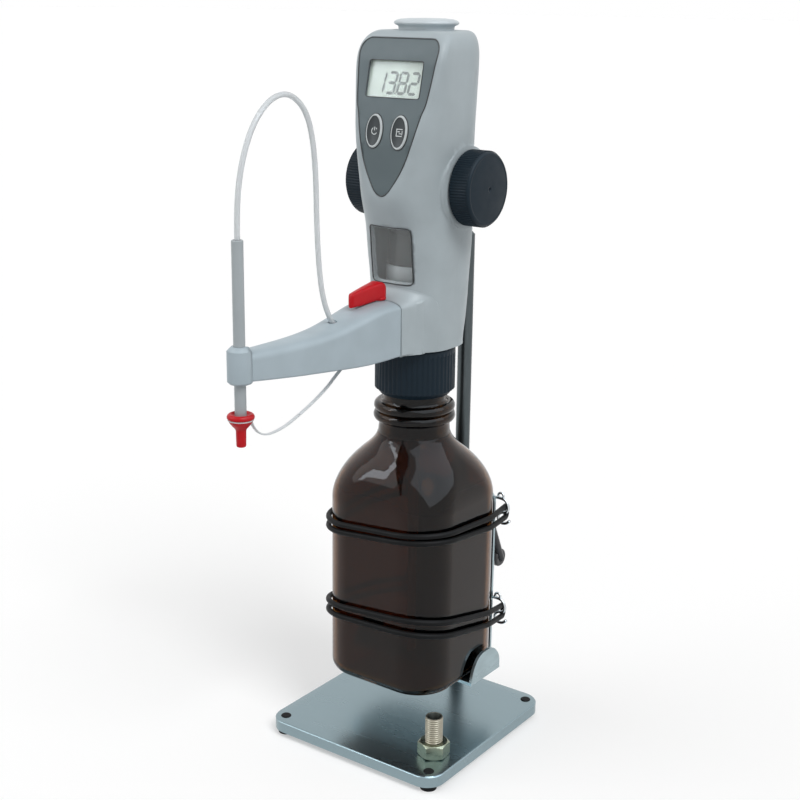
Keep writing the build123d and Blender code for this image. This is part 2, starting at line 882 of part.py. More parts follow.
with BuildPart() as clamp_lever:
    with BuildSketch(facing_right(clamp_half_width + running_gap, clamp_screw_y, clamp_height)):
        Circle(clamp_hub_radius)
    extrude(amount=clamp_hub_length)
    fillet(clamp_lever.edges().filter_by(GeomType.CIRCLE).group_by(Axis.X)[-1], 1.5)
    with BuildSketch(Plane(origin=(lever_x, clamp_screw_y, clamp_height), z_dir=lever_direction)):
        Circle(lever_radius)
    extrude(amount=lever_length)
    fillet(clamp_lever.edges().filter_by(GeomType.CIRCLE).group_by(Axis.Z)[-1], lever_radius * 0.6)
    with BuildSketch(facing_right(clamp_half_width + running_gap, clamp_screw_y, clamp_height)):
        Circle(clamp_screw_radius + pivot_gap)
    extrude(amount=lever_x - clamp_half_width, mode=Mode.SUBTRACT)


# Wire hooks behind the back plate and the elastic bands round the bottle
def hook_route(height, drop, out, side):
    """A wire that runs out behind the back plate, drops and turns back in to hold a band."""
    return [
        (side * (back_plate_half_width - 7), wire_y, height + drop),
        (side * out, wire_y, height + drop),
        (side * out, wire_y, height),
        (side * (out - hook_reach), wire_y, height),
    ]


with BuildPart() as band_hooks:
    for height, drop, out in hook_rows:
        for side in (-1, 1):
            with BuildLine() as wire:
                FilletPolyline(*hook_route(height, drop, out, side), radius=hook_bend)
            with BuildSketch(Plane(origin=wire.line @ 0, z_dir=wire.line % 0)):
                Circle(hook_wire_radius)
            sweep(path=wire.line)


def band_loop(name, hook_height, rise_right, rise_left, spread_right, spread_left):
    """One elastic loop: two strands round the front of the bottle, turned round both hooks."""
    turn = hook_wire_radius + band_radius + band_turn_gap
    wide = bottle_side / 2 + band_gap + band_radius
    hook_x = back_plate_half_width + 5.5
    hook_y = wire_y - axis_y + turn
    bend_y = hook_y - (hook_y - 20) * 0.93

    def strand(sign):
        right = hook_height + sign * turn
        left = hook_height + sign * turn
        near = hook_height + rise_right + sign * spread_right
        far = hook_height + rise_left + sign * spread_left
        share = (hook_y - bend_y) / (hook_y + wide)
        return [
            (hook_x, hook_y, right),
            (wide, bend_y, right + share * (near - right)),
            (wide, -wide, near),
            (-wide, -wide, far),
            (-wide, bend_y, left + share * (far - left)),
            (-hook_x, hook_y, left),
        ]

    start = (hook_x, hook_y, hook_height + band_join)
    end = (hook_x, hook_y, hook_height - band_join)
    route = [start] + strand(1) + strand(-1)[::-1] + [end]
    tight = turn * 0.7
    bends = [tight, band_corner, band_corner, band_corner, band_corner, tight]
    points = [(x, axis_y + y, z) for x, y, z in route]
    with BuildPart() as band:
        with BuildLine() as path:
            FilletPolyline(*points, radius=bends + bends)
        with BuildSketch(Plane(origin=path.line @ 0, z_dir=path.line % 0)):
            Circle(band_radius)
        sweep(path=path.line)
    print(name, "radii", [round(bend, 1) for bend in bends])
    return band.part


upper_band = band_loop("upper band", *upper_band_rise)
lower_band = band_loop("lower band", *lower_band_rise)
with BuildPart() as elastic_bands:
    add(upper_band)
    add(lower_band)

# Valve block on its swivel, filling valve and the tubes in the bottle
with BuildPart() as valve_block:
    with BuildSketch(facing_front(axis_y)):
        with BuildLine():
            Polyline(
                (0, spigot_low),
                (spigot_radius, spigot_low),
                (spigot_radius, swivel_low),
                (swivel_flange_radius, swivel_low),
                (swivel_flange_radius, swivel_low + swivel_flange_height),
                (swivel_radius, swivel_low + swivel_flange_height),
                (swivel_radius, valve_block_low),
                (valve_block_radius, valve_block_low),
                (valve_block_radius, valve_block_top),
                (0, valve_block_top),
                close=True,
            )
        make_face()
    revolve(axis=bottle_axis)
    with BuildSketch(facing_front(axis_y)):
        with Locations((0, channel_height)):
            RectangleRounded(2 * snout_half_width, 2 * snout_half_height, 3)
    extrude(amount=snout_ahead)
    with BuildSketch(level(barrel_low, 0, lever_y)):
        Circle(barrel_radius)
    extrude(amount=barrel_high - barrel_low)
    with BuildSketch(facing_front(axis_y - snout_ahead, 0, channel_height)):
        Circle(nozzle_radius)
    extrude(amount=nozzle_length)
    with BuildSketch(level(plug_low, 0, lever_y)):
        Circle(plug_radius + rod_gap)
    extrude(amount=barrel_high - plug_low, mode=Mode.SUBTRACT)
    with BuildSketch(facing_front(axis_y, 0, channel_height)):
        Circle(channel_radius)
    extrude(amount=snout_ahead + nozzle_length, mode=Mode.SUBTRACT)
    with BuildSketch(level(spigot_low, 0, axis_y)):
        Circle(channel_radius)
    extrude(amount=valve_block_top - spigot_low, mode=Mode.SUBTRACT)
    with BuildSketch(level(spigot_low, 0, axis_y)):
        Circle(suction_radius + seat_gap)
    extrude(amount=filling_nipple, mode=Mode.SUBTRACT)
    with BuildSketch(level(spigot_low, return_x, axis_y)):
        Circle(return_radius + seat_gap)
    extrude(amount=filling_nipple, mode=Mode.SUBTRACT)
    with BuildSketch(facing_front(axis_y + valve_block_radius, 0, lower_screw_height)):
        with GridLocations(2 * lower_screw_x, 1, 2, 1):
            Circle(housing_screw_radius + seat_gap)
    extrude(amount=lower_screw_grip, mode=Mode.SUBTRACT)

with BuildPart() as filling_valve:
    with BuildSketch(facing_front(axis_y)):
        with BuildLine():
            Polyline(
                (channel_radius, spigot_low + filling_nipple),
                (suction_radius, spigot_low + filling_nipple),
                (suction_radius, spigot_low),
                (filling_valve_radius, spigot_low),
                (filling_valve_radius, spigot_low - filling_valve_length + 1),
                (filling_valve_radius - 1, spigot_low - filling_valve_length),
                (suction_radius + seat_gap, spigot_low - filling_valve_length),
                (suction_radius + seat_gap, spigot_low - suction_grip),
                (channel_radius, spigot_low - suction_grip),
                close=True,
            )
        make_face()
    revolve(axis=bottle_axis)

with BuildPart() as suction_tube:
    with BuildSketch(level(suction_low)):
        Circle(suction_radius)
        Circle(suction_radius - suction_wall, mode=Mode.SUBTRACT)
    extrude(amount=spigot_low - suction_grip - suction_low)

with BuildPart() as telescopic_tube:
    with BuildSketch(level(telescope_low)):
        Circle(suction_radius - suction_wall - slide_gap)
        Circle(suction_radius - suction_wall - slide_gap - telescope_wall, mode=Mode.SUBTRACT)
    extrude(amount=telescope_top - telescope_low)
    with BuildSketch(facing_right(0, axis_y, telescope_low)):
        with BuildLine():
            Polyline((-5, 0), (5, 0), (5, 3.5), close=True)
        make_face()
    extrude(amount=suction_radius, both=True, mode=Mode.SUBTRACT)

with BuildPart() as return_tube:
    with BuildSketch(level(return_low, return_x, axis_y)):
        Circle(return_radius)
        Circle(return_radius - 0.6, mode=Mode.SUBTRACT)
    extrude(amount=spigot_low + filling_nipple - return_low)

# Cylinder, piston and toothed rack
with BuildPart() as cylinder_seat:
    with BuildSketch(level(valve_block_top)):
        Circle(seat_ring_radius)
    extrude(amount=seat_ring_top - valve_block_top)
    with BuildSketch(level(cylinder_low)):
        Circle(cylinder_radius + cylinder_wall + seat_gap)
    extrude(amount=seat_ring_top - cylinder_low, mode=Mode.SUBTRACT)
    with BuildSketch(level(valve_block_top)):
        Circle(channel_radius)
    extrude(amount=cylinder_low - valve_block_top, mode=Mode.SUBTRACT)
    chamfer(cylinder_seat.edges().group_by(Axis.Z)[-1], 0.3)

with BuildPart() as glass_cylinder:
    with BuildSketch(level(cylinder_low)):
        Circle(cylinder_radius + cylinder_wall)
        Circle(cylinder_radius, mode=Mode.SUBTRACT)
    extrude(amount=cylinder_high - cylinder_low)

with BuildPart() as piston_seal:
    with BuildSketch(level(piston_rest)):
        Circle(cylinder_radius - piston_gap)
        Circle(piston_core_radius, mode=Mode.SUBTRACT)
    extrude(amount=seal_height)

with BuildPart() as piston_head:
    with BuildSketch(level(piston_rest)):
        Circle(piston_core_radius - seat_gap)
    extrude(amount=piston_height)
    with BuildSketch(level(piston_rest + seal_height)):
        Circle(cylinder_radius - running_gap)
    extrude(amount=piston_height - seal_height)
    chamfer(piston_head.edges().group_by(Axis.Z)[-1], 0.8)

with BuildPart() as toothed_rack:
    rack_pitch = pi * gear_module
    rack_line = axle_back - rack_pinion_pitch
    tip_line = rack_line + stub_addendum * gear_module
    root_line = rack_line - root_depth * gear_module
    tip_half = rack_pitch / 4 - backlash / 2 - stub_addendum * gear_module * slope
    root_half = rack_pitch / 4 - backlash / 2 + root_depth * gear_module * slope
    low_teeth = ceil((stroke - piston_rest + piston_low + 2 * gear_module) / rack_pitch)
    high_teeth = ceil((piston_rest - piston_low + 2 * gear_module) / rack_pitch)
    outline = [(-rack_back, piston_rest + piston_height), (root_line, piston_rest + piston_height)]
    for tooth in range(-low_teeth, high_teeth + 1):
        middle = shaft_height + (tooth + 0.5) * rack_pitch
        outline.append((root_line, middle - root_half))
        outline.append((tip_line, middle - tip_half))
        outline.append((tip_line, middle + tip_half))
        outline.append((root_line, middle + root_half))
    rack_top = shaft_height + (high_teeth + 1.5) * rack_pitch
    outline = outline + [(root_line, rack_top), (-rack_back, rack_top)]
    with BuildSketch(facing_right(0, axis_y)):
        Polygon(*outline, align=None)
    extrude(amount=rack_half_width, both=True)

# Frame of the gear train on top of the cylinder
with BuildPart() as gear_frame:
    with BuildSketch(level(cylinder_high)):
        Circle(cylinder_radius + cylinder_wall)
        Circle(cylinder_radius + 0.1, mode=Mode.SUBTRACT)
    extrude(amount=frame_base - cylinder_high)
    with BuildSketch(level(frame_base)):
        with Locations((0, 3)):
            RectangleRounded(2 * leg_outer, 30, 4)
        Rectangle(2 * rack_half_width + 0.6, 2 * rack_back + 0.6, mode=Mode.SUBTRACT)
        with Locations((gear_x, axle_back)):
            Rectangle(gear_face + 1.6, 16, mode=Mode.SUBTRACT)
    extrude(amount=frame_plate)
    for side in (-1, 1):
        with BuildSketch(level(valve_block_top, side * (leg_inner + leg_outer) / 2)):
            with Locations((0, leg_back)):
                Rectangle(leg_outer - leg_inner, leg_depth)
        extrude(amount=frame_base - valve_block_top)
    for x in (frame_left, frame_right + frame_plate):
        with BuildSketch(facing_right(x, axle_y)):
            with BuildLine():
                Polyline(
                    (-15.5, frame_base),
                    (8, frame_base),
                    (8, shaft_height + 4),
                    (4, shaft_height + frame_over_shaft),
                    (-15.5, shaft_height + frame_over_shaft),
                    close=True,
                )
            make_face()
            with Locations((0, axle_height)):
                Circle(axle_radius + fit_gap, mode=Mode.SUBTRACT)
            with Locations((0, shaft_height)):
                Circle(shaft_radius + pivot_gap, mode=Mode.SUBTRACT)
        extrude(amount=-frame_plate)
    with BuildSketch(level(frame_base + frame_plate, frame_left / 2 + 2)):
        with Locations((0, -rack_back - fit_gap - 1.25)):
            Rectangle(-frame_left + 4, 2.5)
    extrude(amount=shaft_height + frame_over_shaft - frame_base - frame_plate)

with BuildPart() as counter_gear:
    with BuildSketch(facing_right(gear_x - gear_face / 2, axle_y, shaft_height)):
        Polygon(*gear_points(big_gear_teeth, radians(-90 + 180 / big_gear_teeth)), align=None)
    extrude(amount=gear_face)
    with BuildSketch(facing_right(-rack_half_width - 0.5, axle_y, shaft_height)):
        Polygon(*gear_points(rack_pinion_teeth, pi), align=None)
    extrude(amount=2 * rack_half_width + 1)
    with BuildSketch(facing_right(rack_half_width, axle_y, shaft_height)):
        Circle(rack_pinion_pitch - 1)
    extrude(amount=gear_x - rack_half_width)
    with BuildSketch(facing_right(frame_left - 1, axle_y, shaft_height)):
        Circle(shaft_radius + seat_gap)
    extrude(amount=frame_right - frame_left + 4, mode=Mode.SUBTRACT)

with BuildPart() as counter_shaft:
    with BuildSketch(facing_right(frame_left - frame_plate, axle_y, shaft_height)):
        Circle(shaft_radius)
    extrude(amount=frame_right - frame_left + 2 * frame_plate)

with BuildPart() as axle:
    with BuildSketch(facing_right(0, axle_y, axle_height)):
        Circle(axle_radius)
    extrude(amount=wheel_outer_face - wheel_cover, both=True)

with BuildPart() as axle_pinion:
    with BuildSketch(facing_right(gear_x - gear_face / 2 - 0.5, axle_y, axle_height)):
        Polygon(*gear_points(axle_pinion_teeth, pi / 2), align=None)
        Circle(axle_radius + seat_gap, mode=Mode.SUBTRACT)
    extrude(amount=gear_face + 1)

with BuildPart() as axle_bushes:
    for side in (-1, 1):
        with BuildSketch(facing_right(side * (boss_face - bush_length / 2), axle_y, axle_height)):
            Circle(bush_radius)
            Circle(axle_radius + bush_gap, mode=Mode.SUBTRACT)
        extrude(amount=bush_length / 2, both=True)


def handwheel(side):
    """One ribbed handwheel with a domed end face and a centre dimple."""
    with BuildPart() as wheel:
        with BuildSketch(facing_right(side * (wheel_inner_face + wheel_rim), axle_y, axle_height)):
            Polygon(*ribbed_points(wheel_radius, wheel_rib_depth, wheel_ribs), align=None)
        extrude(amount=side * (wheel_width - wheel_rim - wheel_round))
        smooth = wheel_radius - wheel_rib_depth
        with BuildSketch(Plane(origin=(0, axle_y, axle_height), x_dir=(side, 0, 0), z_dir=(0, -side, 0))):
            with BuildLine():
                Polyline(
                    (wheel_outer_face - wheel_round, smooth),
                    (wheel_inner_face + 0.6, smooth),
                    (wheel_inner_face, smooth - 0.6),
                    (wheel_inner_face, 0),
                    (wheel_outer_face - wheel_dimple_depth, 0),
                    (wheel_outer_face - wheel_dimple_depth, wheel_dimple_radius),
                    (wheel_outer_face, wheel_dimple_radius),
                )
                ThreePointArc(
                    (wheel_outer_face, wheel_dimple_radius),
                    (wheel_outer_face - 0.25, wheel_radius * 0.55),
                    (wheel_outer_face - 0.9, smooth - wheel_round),
                )
                ThreePointArc(
                    (wheel_outer_face - 0.9, smooth - wheel_round),
                    (wheel_outer_face - 1.4, smooth - 0.5),
                    (wheel_outer_face - wheel_round, smooth),
                )
            make_face()
        revolve(axis=Axis((0, axle_y, axle_height), (1, 0, 0)))
        with BuildSketch(facing_right(side * (wheel_inner_face - 1), axle_y, axle_height)):
            Circle(axle_radius + seat_gap)
        extrude(amount=side * (wheel_width - wheel_cover + 1), mode=Mode.SUBTRACT)
    return wheel


right_handwheel = handwheel(1)
left_handwheel = handwheel(-1)

# Housing in two shells, split along the axle
def front_profile(inset, depth, low, high):
    """A slab that follows the front of the head over its flat width, between two insets."""
    rows = [row for row in housing_rows if low - 12 < row[0] < high + 12]
    outer = [(-row[1] + inset, row[0]) for row in rows]
    inner = [(-row[1] + depth, row[0]) for row in reversed(rows)]
    with BuildPart() as slab:
        with BuildSketch(facing_right(0, axis_y)):
            with BuildLine():
                Spline(*outer)
                Line(outer[-1], inner[0])
                Spline(*inner)
                Line(inner[-1], outer[0])
            make_face()
        extrude(amount=panel_shoulder[0] + 2, both=True)
    return slab.part


def shield_prism(inset, back):
    """The shield outline as a block that runs forward from a depth behind the front."""
    top = panel_top - inset
    half_top = panel_half_top - inset
    shoulder = (panel_shoulder[0] - inset, panel_shoulder[1])
    tip = (0, panel_tip + 1.6 * inset)
    side = [(x - inset, z) for x, z in reversed(panel_side)]
    with BuildPart() as block:
        with BuildSketch(facing_front(axis_y - back)):
            with BuildLine():
                Spline(tip, *side, shoulder, tangents=[(1, 0.2), (0.1, 1)])
                Spline(shoulder, (half_top, top - 1.5), (half_top - 3, top))
                Line((half_top - 3, top), (0, top))
                Line((0, top), tip)
            make_face()
        extrude(amount=45)
        mirror(about=Plane.YZ)
    return block.part


outer_form = housing_form(0, 0, 0, 0)
inner_form = housing_form(housing_front_wall, housing_wall, housing_wall, housing_wall)
seam = Plane(origin=(0, axle_y, axle_height), x_dir=(1, 0, 0), z_dir=(0, 1, -seam_slope))
panel_slab = front_profile(0, panel_thickness, panel_tip, panel_top)
panel_pocket = front_profile(-4, panel_thickness + seat_gap, panel_tip, panel_top)
print("housing forms", round(outer_form.volume), round(inner_form.volume))


def window_prism(inset):
    """A rounded block through the front of the head, where the inspection window sits."""
    with BuildPart() as block:
        with BuildSketch(facing_front(axis_y - window_block_start, 0, (window_low + window_high) / 2)):
            RectangleRounded(
                2 * (window_half_width - inset), window_high - window_low - 2 * inset, window_corner
            )
        extrude(amount=30)
    return block.part


with BuildPart() as panel_recess:
    add(panel_pocket)
    add(shield_prism(-seat_gap, 0), mode=Mode.INTERSECT)

with BuildPart() as window_recess:
    add(window_prism(0))
    add(housing_form(*[window_thickness + seat_gap] * 4), mode=Mode.SUBTRACT)

with BuildPart() as housing_shell:
    add(outer_form)
    for side in (-1, 1):
        with BuildSketch(facing_right(side * boss_root, axle_y, axle_height)):
            Circle(boss_radius)
        extrude(amount=side * (boss_face - boss_root))
    for ahead, half, under, shoulder, crown in lip_rows:
        with BuildSketch(facing_front(axis_y - ahead)):
            with BuildLine():
                Line((half, under), (half, shoulder))
                ThreePointArc((half, shoulder), (0, crown), (-half, shoulder))
                Line((-half, shoulder), (-half, under))
                Line((-half, under), (half, under))
            make_face()
    loft()

with BuildPart() as screw_posts:
    for side in (-1, 1):
        with BuildSketch(facing_front(axis_y + upper_post_rear, side * upper_screw_x, upper_screw_height)):
            Circle(screw_post_radius)
        extrude(amount=upper_post_rear - upper_post_front)
        with BuildSketch(facing_front(axis_y + upper_post_rear, side * 26, upper_screw_height)):
            Rectangle(13, 3)
        extrude(amount=upper_post_rear - upper_post_front)
        with BuildSketch(facing_front(axis_y + lower_post_rear, side * lower_screw_x, lower_screw_height)):
            Circle(screw_post_radius)
        extrude(amount=lower_post_rear - lower_post_front)
    add(housing_shell.part, mode=Mode.INTERSECT)

with BuildPart() as battery_cradle:
    for x in (-cradle_x, cradle_x):
        with BuildSketch(facing_right(x, axis_y)):
            with Locations((battery_back + 9, (battery_heights[0] + battery_heights[1]) / 2)):
                Rectangle(18, 26)
            for height in battery_heights:
                with Locations((battery_back, height)):
                    Circle(battery_radius + seat_gap, mode=Mode.SUBTRACT)
        extrude(amount=1.2, both=True)
    add(housing_shell.part, mode=Mode.INTERSECT)

with BuildPart() as housing:
    add(housing_shell.part)
    add(inner_form, mode=Mode.SUBTRACT)
    add(screw_posts.part)
    add(battery_cradle.part)
    with BuildSketch(facing_front(axis_y - 15)):
        with Locations((0, (arm_spigot_low + arm_spigot_high) / 2)):
            RectangleRounded(
                2 * (arm_spigot_half + seat_gap), arm_spigot_high - arm_spigot_low + 2 * seat_gap, 2
            )
    extrude(amount=lip_front - 14, mode=Mode.SUBTRACT)
    add(panel_recess.part, mode=Mode.SUBTRACT)
    add(shield_prism(panel_ledge, 10), mode=Mode.SUBTRACT)
    add(window_recess.part, mode=Mode.SUBTRACT)
    add(window_prism(window_ledge), mode=Mode.SUBTRACT)
    with BuildSketch(facing_right(0, axle_y, axle_height)):
        Circle(bush_radius)
    extrude(amount=boss_face + 1, both=True, mode=Mode.SUBTRACT)
    with BuildSketch(level(valve_block_low - 2)):
        Circle(valve_block_radius + fit_gap)
    extrude(amount=valve_block_top - valve_block_low + 2, mode=Mode.SUBTRACT)
    with BuildSketch(level(cap_low - cap_spigot_depth - 6, 0, axis_y + cap_back)):
        Circle(cap_spigot_radius + seat_gap)
    extrude(amount=20, mode=Mode.SUBTRACT)
    for x, height, seat in screw_rows:
        for side in (-1, 1):
            with BuildSketch(facing_front(axis_y + seat, side * x, height)):
                Circle(housing_screw_head_radius + fit_gap)
            extrude(amount=-10, mode=Mode.SUBTRACT)
            with BuildSketch(facing_front(axis_y + seat, side * x, height)):
                Circle(housing_screw_radius + seat_gap)
            extrude(amount=upper_screw_length, mode=Mode.SUBTRACT)

with BuildPart() as housing_front:
    add(housing.part)
    split(bisect_by=seam, keep=Keep.BOTTOM)

with BuildPart() as housing_rear:
    add(housing.part)
    split(bisect_by=seam.offset(seam_gap), keep=Keep.TOP)

with BuildPart() as housing_screws:
    for x, height, seat in screw_rows:
        for side in (-1, 1):
            with BuildSketch(facing_front(axis_y + seat, side * x, height)):
                Circle(housing_screw_head_radius)
            extrude(amount=-housing_screw_head_height)
            with BuildSketch(facing_front(axis_y + seat, side * x, height)):
                Circle(housing_screw_radius)
            extrude(amount=upper_screw_length - 1 if height > axle_height else lower_screw_length)

with BuildPart() as inspection_window:
    add(outer_form)
    add(window_prism(seat_gap), mode=Mode.INTERSECT)
    add(housing_form(*[window_thickness] * 4), mode=Mode.SUBTRACT)

with BuildPart() as top_cap:
    with BuildSketch(facing_front(axis_y + cap_back)):
        with BuildLine():
            Polyline(
                (0, cap_low - cap_spigot_depth),
                (cap_spigot_radius, cap_low - cap_spigot_depth),
                (cap_spigot_radius, housing_rows[-1][0]),
                (cap_neck_radius, housing_rows[-1][0]),
                (cap_neck_radius, cap_low),
                (cap_radius - 0.4, cap_low),
                (cap_radius, cap_low + 0.6),
                (cap_radius - 0.8, cap_top - cap_dome_rise),
            )
            RadiusArc((cap_radius - 0.8, cap_top - cap_dome_rise), (0, cap_top), -cap_dome_radius)
            Line((0, cap_top), (0, cap_low - cap_spigot_depth))
        make_face()
    revolve(axis=Axis((0, axis_y + cap_back, 0), (0, 0, 1)))

# Display panel with its lens, buttons and electronics
display_plane = tilted_front(display_ahead, display_height, display_tilt)
button_plane = tilted_front(button_ahead, button_height, button_tilt)
with BuildPart() as display_panel:
    add(panel_slab)
    add(shield_prism(0, 0), mode=Mode.INTERSECT)
    with BuildSketch(display_plane):
        RectangleRounded(lcd_width, lcd_height, 1)
    extrude(amount=6, both=True, mode=Mode.SUBTRACT)
    with BuildSketch(button_plane):
        with GridLocations(2 * button_x, 1, 2, 1):
            Ellipse(button_half_width + button_gap, button_half_height + button_gap)
    extrude(amount=5, both=True, mode=Mode.SUBTRACT)

with BuildPart() as display_lens:
    with BuildSketch(display_plane.offset(lens_lift)):
        RectangleRounded(lcd_width - 2 * seat_gap, lcd_height - 2 * seat_gap, 1)
    extrude(amount=lens_thickness)

with BuildPart() as lcd_module:
    with BuildSketch(display_plane):
        Rectangle(lcd_width + 2 * lens_edge, lcd_height + 2 * lens_edge)
    extrude(amount=-lcd_thickness)

with BuildPart() as circuit_board:
    with BuildSketch(display_plane.offset(-lcd_thickness - board_gap)):
        Polygon(
            (board_half_top, board_top),
            (-board_half_top, board_top),
            (-board_half_top, -lcd_height / 2),
            (-board_half_bottom, -board_bottom),
            (board_half_bottom, -board_bottom),
            (board_half_top, -lcd_height / 2),
            align=None,
        )
    extrude(amount=-board_thickness)


def button(side):
    """One oval push button with a dished face, a flange behind the panel and a stem."""
    with BuildPart() as key:
        with BuildSketch(button_plane.offset(-button_depth)):
            with Locations((side * button_x, 0)):
                Ellipse(button_half_width, button_half_height)
        extrude(amount=button_depth + button_proud)
        chamfer(key.edges().group_by(Axis((0, 0, 0), button_plane.z_dir))[-1], button_edge)
        with BuildSketch(button_plane.offset(-button_depth)):
            with Locations((side * button_x, 0)):
                Ellipse(button_half_width + 0.9, button_half_height + 0.9)
        extrude(amount=-button_flange)
        with BuildSketch(button_plane.offset(-button_depth)):
            with Locations((side * button_x, 0)):
                Circle(button_stem_radius)
        extrude(amount=-button_stem_end + button_depth)
        with Locations(button_plane.offset(button_proud + dish_radius - dish_depth)):
            with Locations((side * button_x, 0)):
                Sphere(dish_radius, mode=Mode.SUBTRACT)
    return key


power_button = button(-1)
clear_button = button(1)

with BuildPart() as button_switches:
    with BuildSketch(display_plane.offset(-lcd_thickness - board_gap)):
        with Locations((-button_x, switch_drop), (button_x, switch_drop)):
            Rectangle(2 * switch_radius + 1, 2 * switch_radius + 1)
    extrude(amount=switch_height * 0.7)
    with BuildSketch(display_plane.offset(-lcd_thickness - board_gap)):
        with Locations((-button_x, switch_drop), (button_x, switch_drop)):
            Circle(switch_radius * 0.6)
    extrude(amount=switch_height)

with BuildPart() as batteries:
    for height in battery_heights:
        with BuildSketch(facing_right(0, axis_y + battery_back, height)):
            Circle(battery_radius)
        extrude(amount=battery_length / 2 - 0.6, both=True)
        with BuildSketch(facing_right(0, axis_y + battery_back, height)):
            Circle(battery_radius * 0.36)
        extrude(amount=battery_length / 2, both=True)

# Discharge arm, tip holder and valve lever
with BuildPart() as arm_hollow:
    add(arm_form(arm_wall, 0, 5))
    split(bisect_by=facing_front(axis_y - lip_front - arm_web), keep=Keep.TOP)

with BuildPart() as discharge_arm:
    add(arm_form(0, 0, 5))
    add(arm_hollow.part, mode=Mode.SUBTRACT)
    spigot_middle = (arm_spigot_low + arm_spigot_high) / 2
    spigot_height = arm_spigot_high - arm_spigot_low
    with BuildSketch(facing_front(axis_y - lip_front + arm_spigot_length)):
        with Locations((0, spigot_middle)):
            RectangleRounded(2 * arm_spigot_half, spigot_height, 2)
    extrude(amount=arm_spigot_length + 1)
    with BuildSketch(facing_front(axis_y - lip_front + arm_spigot_length)):
        with Locations((0, spigot_middle)):
            Rectangle(2 * arm_spigot_half - 3, spigot_height - 3)
    extrude(amount=arm_spigot_length + arm_web + 1, mode=Mode.SUBTRACT)
    with BuildSketch(level(channel_height, 0, lever_y)):
        Circle(stem_radius + fit_gap)
    extrude(amount=40, mode=Mode.SUBTRACT)
    with BuildSketch(level(channel_height, 0, axis_y - tubing_exit)):
        Circle(tubing_hole_radius)
    extrude(amount=40, mode=Mode.SUBTRACT)
    with BuildSketch(level(holder_low - 5, 0, tube_y)):
        Circle(tube_radius + running_gap)
    extrude(amount=40, mode=Mode.SUBTRACT)
    with BuildSketch(level(anchor_top, 0, axis_y - anchor_ahead)):
        Circle(anchor_radius * 0.55 + seat_gap)
    extrude(amount=-20, mode=Mode.SUBTRACT)

with BuildPart() as tip_holder:
    with BuildSketch(level(holder_low, 0, tube_y)):
        Circle(holder_radius)
        with Locations((0, holder_radius)):
            Rectangle(2 * holder_radius, 2 * holder_radius)
    extrude(amount=holder_high - holder_low)
    rims = tip_holder.edges().filter_by_position(Axis.Y, tube_y - 2 * holder_radius, tube_y + holder_radius)
    chamfer(rims.group_by(Axis.Z)[-1], holder_bevel)
    rims = tip_holder.edges().filter_by_position(Axis.Y, tube_y - 2 * holder_radius, tube_y + holder_radius)
    chamfer(rims.group_by(Axis.Z)[0], holder_bevel * 0.5)
    split(bisect_by=facing_front(tube_y + holder_seam), keep=Keep.TOP)
    with BuildSketch(facing_front(tube_y + holder_seam)):
        with Locations((0, (holder_spigot_low + holder_spigot_high) / 2)):
            RectangleRounded(2 * holder_spigot_half, holder_spigot_high - holder_spigot_low, 1)
    extrude(amount=-holder_spigot_length)
    with BuildSketch(level(holder_low, 0, tube_y)):
        Circle(tube_radius + slide_gap)
    extrude(amount=holder_high - holder_low, mode=Mode.SUBTRACT)

with BuildPart() as valve_plug:
    with BuildSketch(level(plug_low, 0, lever_y)):
        Circle(plug_radius)
    extrude(amount=plug_high - plug_low)
    with BuildSketch(level(plug_high, 0, lever_y)):
        Circle(stem_radius)
    extrude(amount=handle_base + stem_grip - plug_high)
    with BuildSketch(facing_front(lever_y + plug_radius, 0, channel_height)):
        Circle(channel_radius)
    extrude(amount=2 * plug_radius, mode=Mode.SUBTRACT)

with BuildPart() as valve_lever:
    with BuildSketch(level(handle_base, 0, lever_y)):
        Circle(handle_hub_radius)
        with BuildLine():
            Polyline(
                (-handle_hub_radius * 0.98, -1),
                (-handle_tip_half, lever_ahead - handle_tip_ahead),
                (handle_tip_half, lever_ahead - handle_tip_ahead),
                (handle_hub_radius * 0.98, -1),
                close=True,
            )
        make_face()
    extrude(amount=handle_top - handle_base)
    with BuildSketch(facing_right(-handle_hub_radius - 1, axis_y)):
        with BuildLine():
            Line((-handle_tip_ahead, handle_base), (-handle_tip_ahead, handle_tip_top))
            Spline(
                (-handle_tip_ahead, handle_tip_top),
                (-lever_ahead - 6, handle_top - 0.1),
                (-lever_ahead + handle_hub_radius - 1.6, handle_heel_top),
                tangents=[(1, 0.2), (0.3, -1)],
            )
            Line(
                (-lever_ahead + handle_hub_radius - 1.6, handle_heel_top),
                (-lever_ahead + handle_hub_radius - 1.3, handle_base + handle_hub_height),
            )
            Polyline(
                (-lever_ahead + handle_hub_radius - 1.3, handle_base + handle_hub_height),
                (-lever_ahead + handle_hub_radius, handle_base + handle_hub_height * 0.6),
                (-lever_ahead + handle_hub_radius, handle_base),
                (-handle_tip_ahead, handle_base),
            )
        make_face()
    extrude(amount=2 * handle_hub_radius + 2, mode=Mode.INTERSECT)
    with BuildSketch(level(handle_base, 0, lever_y)):
        Circle(stem_radius + seat_gap)
    extrude(amount=stem_grip, mode=Mode.SUBTRACT)

# Titrating tube with its dosing tip, and the red cap
with BuildPart() as titrating_tube:
    with BuildSketch(level(tube_low, 0, tube_y)):
        Circle(tube_radius)
        Circle(tube_bore_radius, mode=Mode.SUBTRACT)
    extrude(amount=tube_high - tube_low)
    chamfer(titrating_tube.edges().group_by(Axis.Z)[-1].sort_by(SortBy.RADIUS)[-1], 0.4)

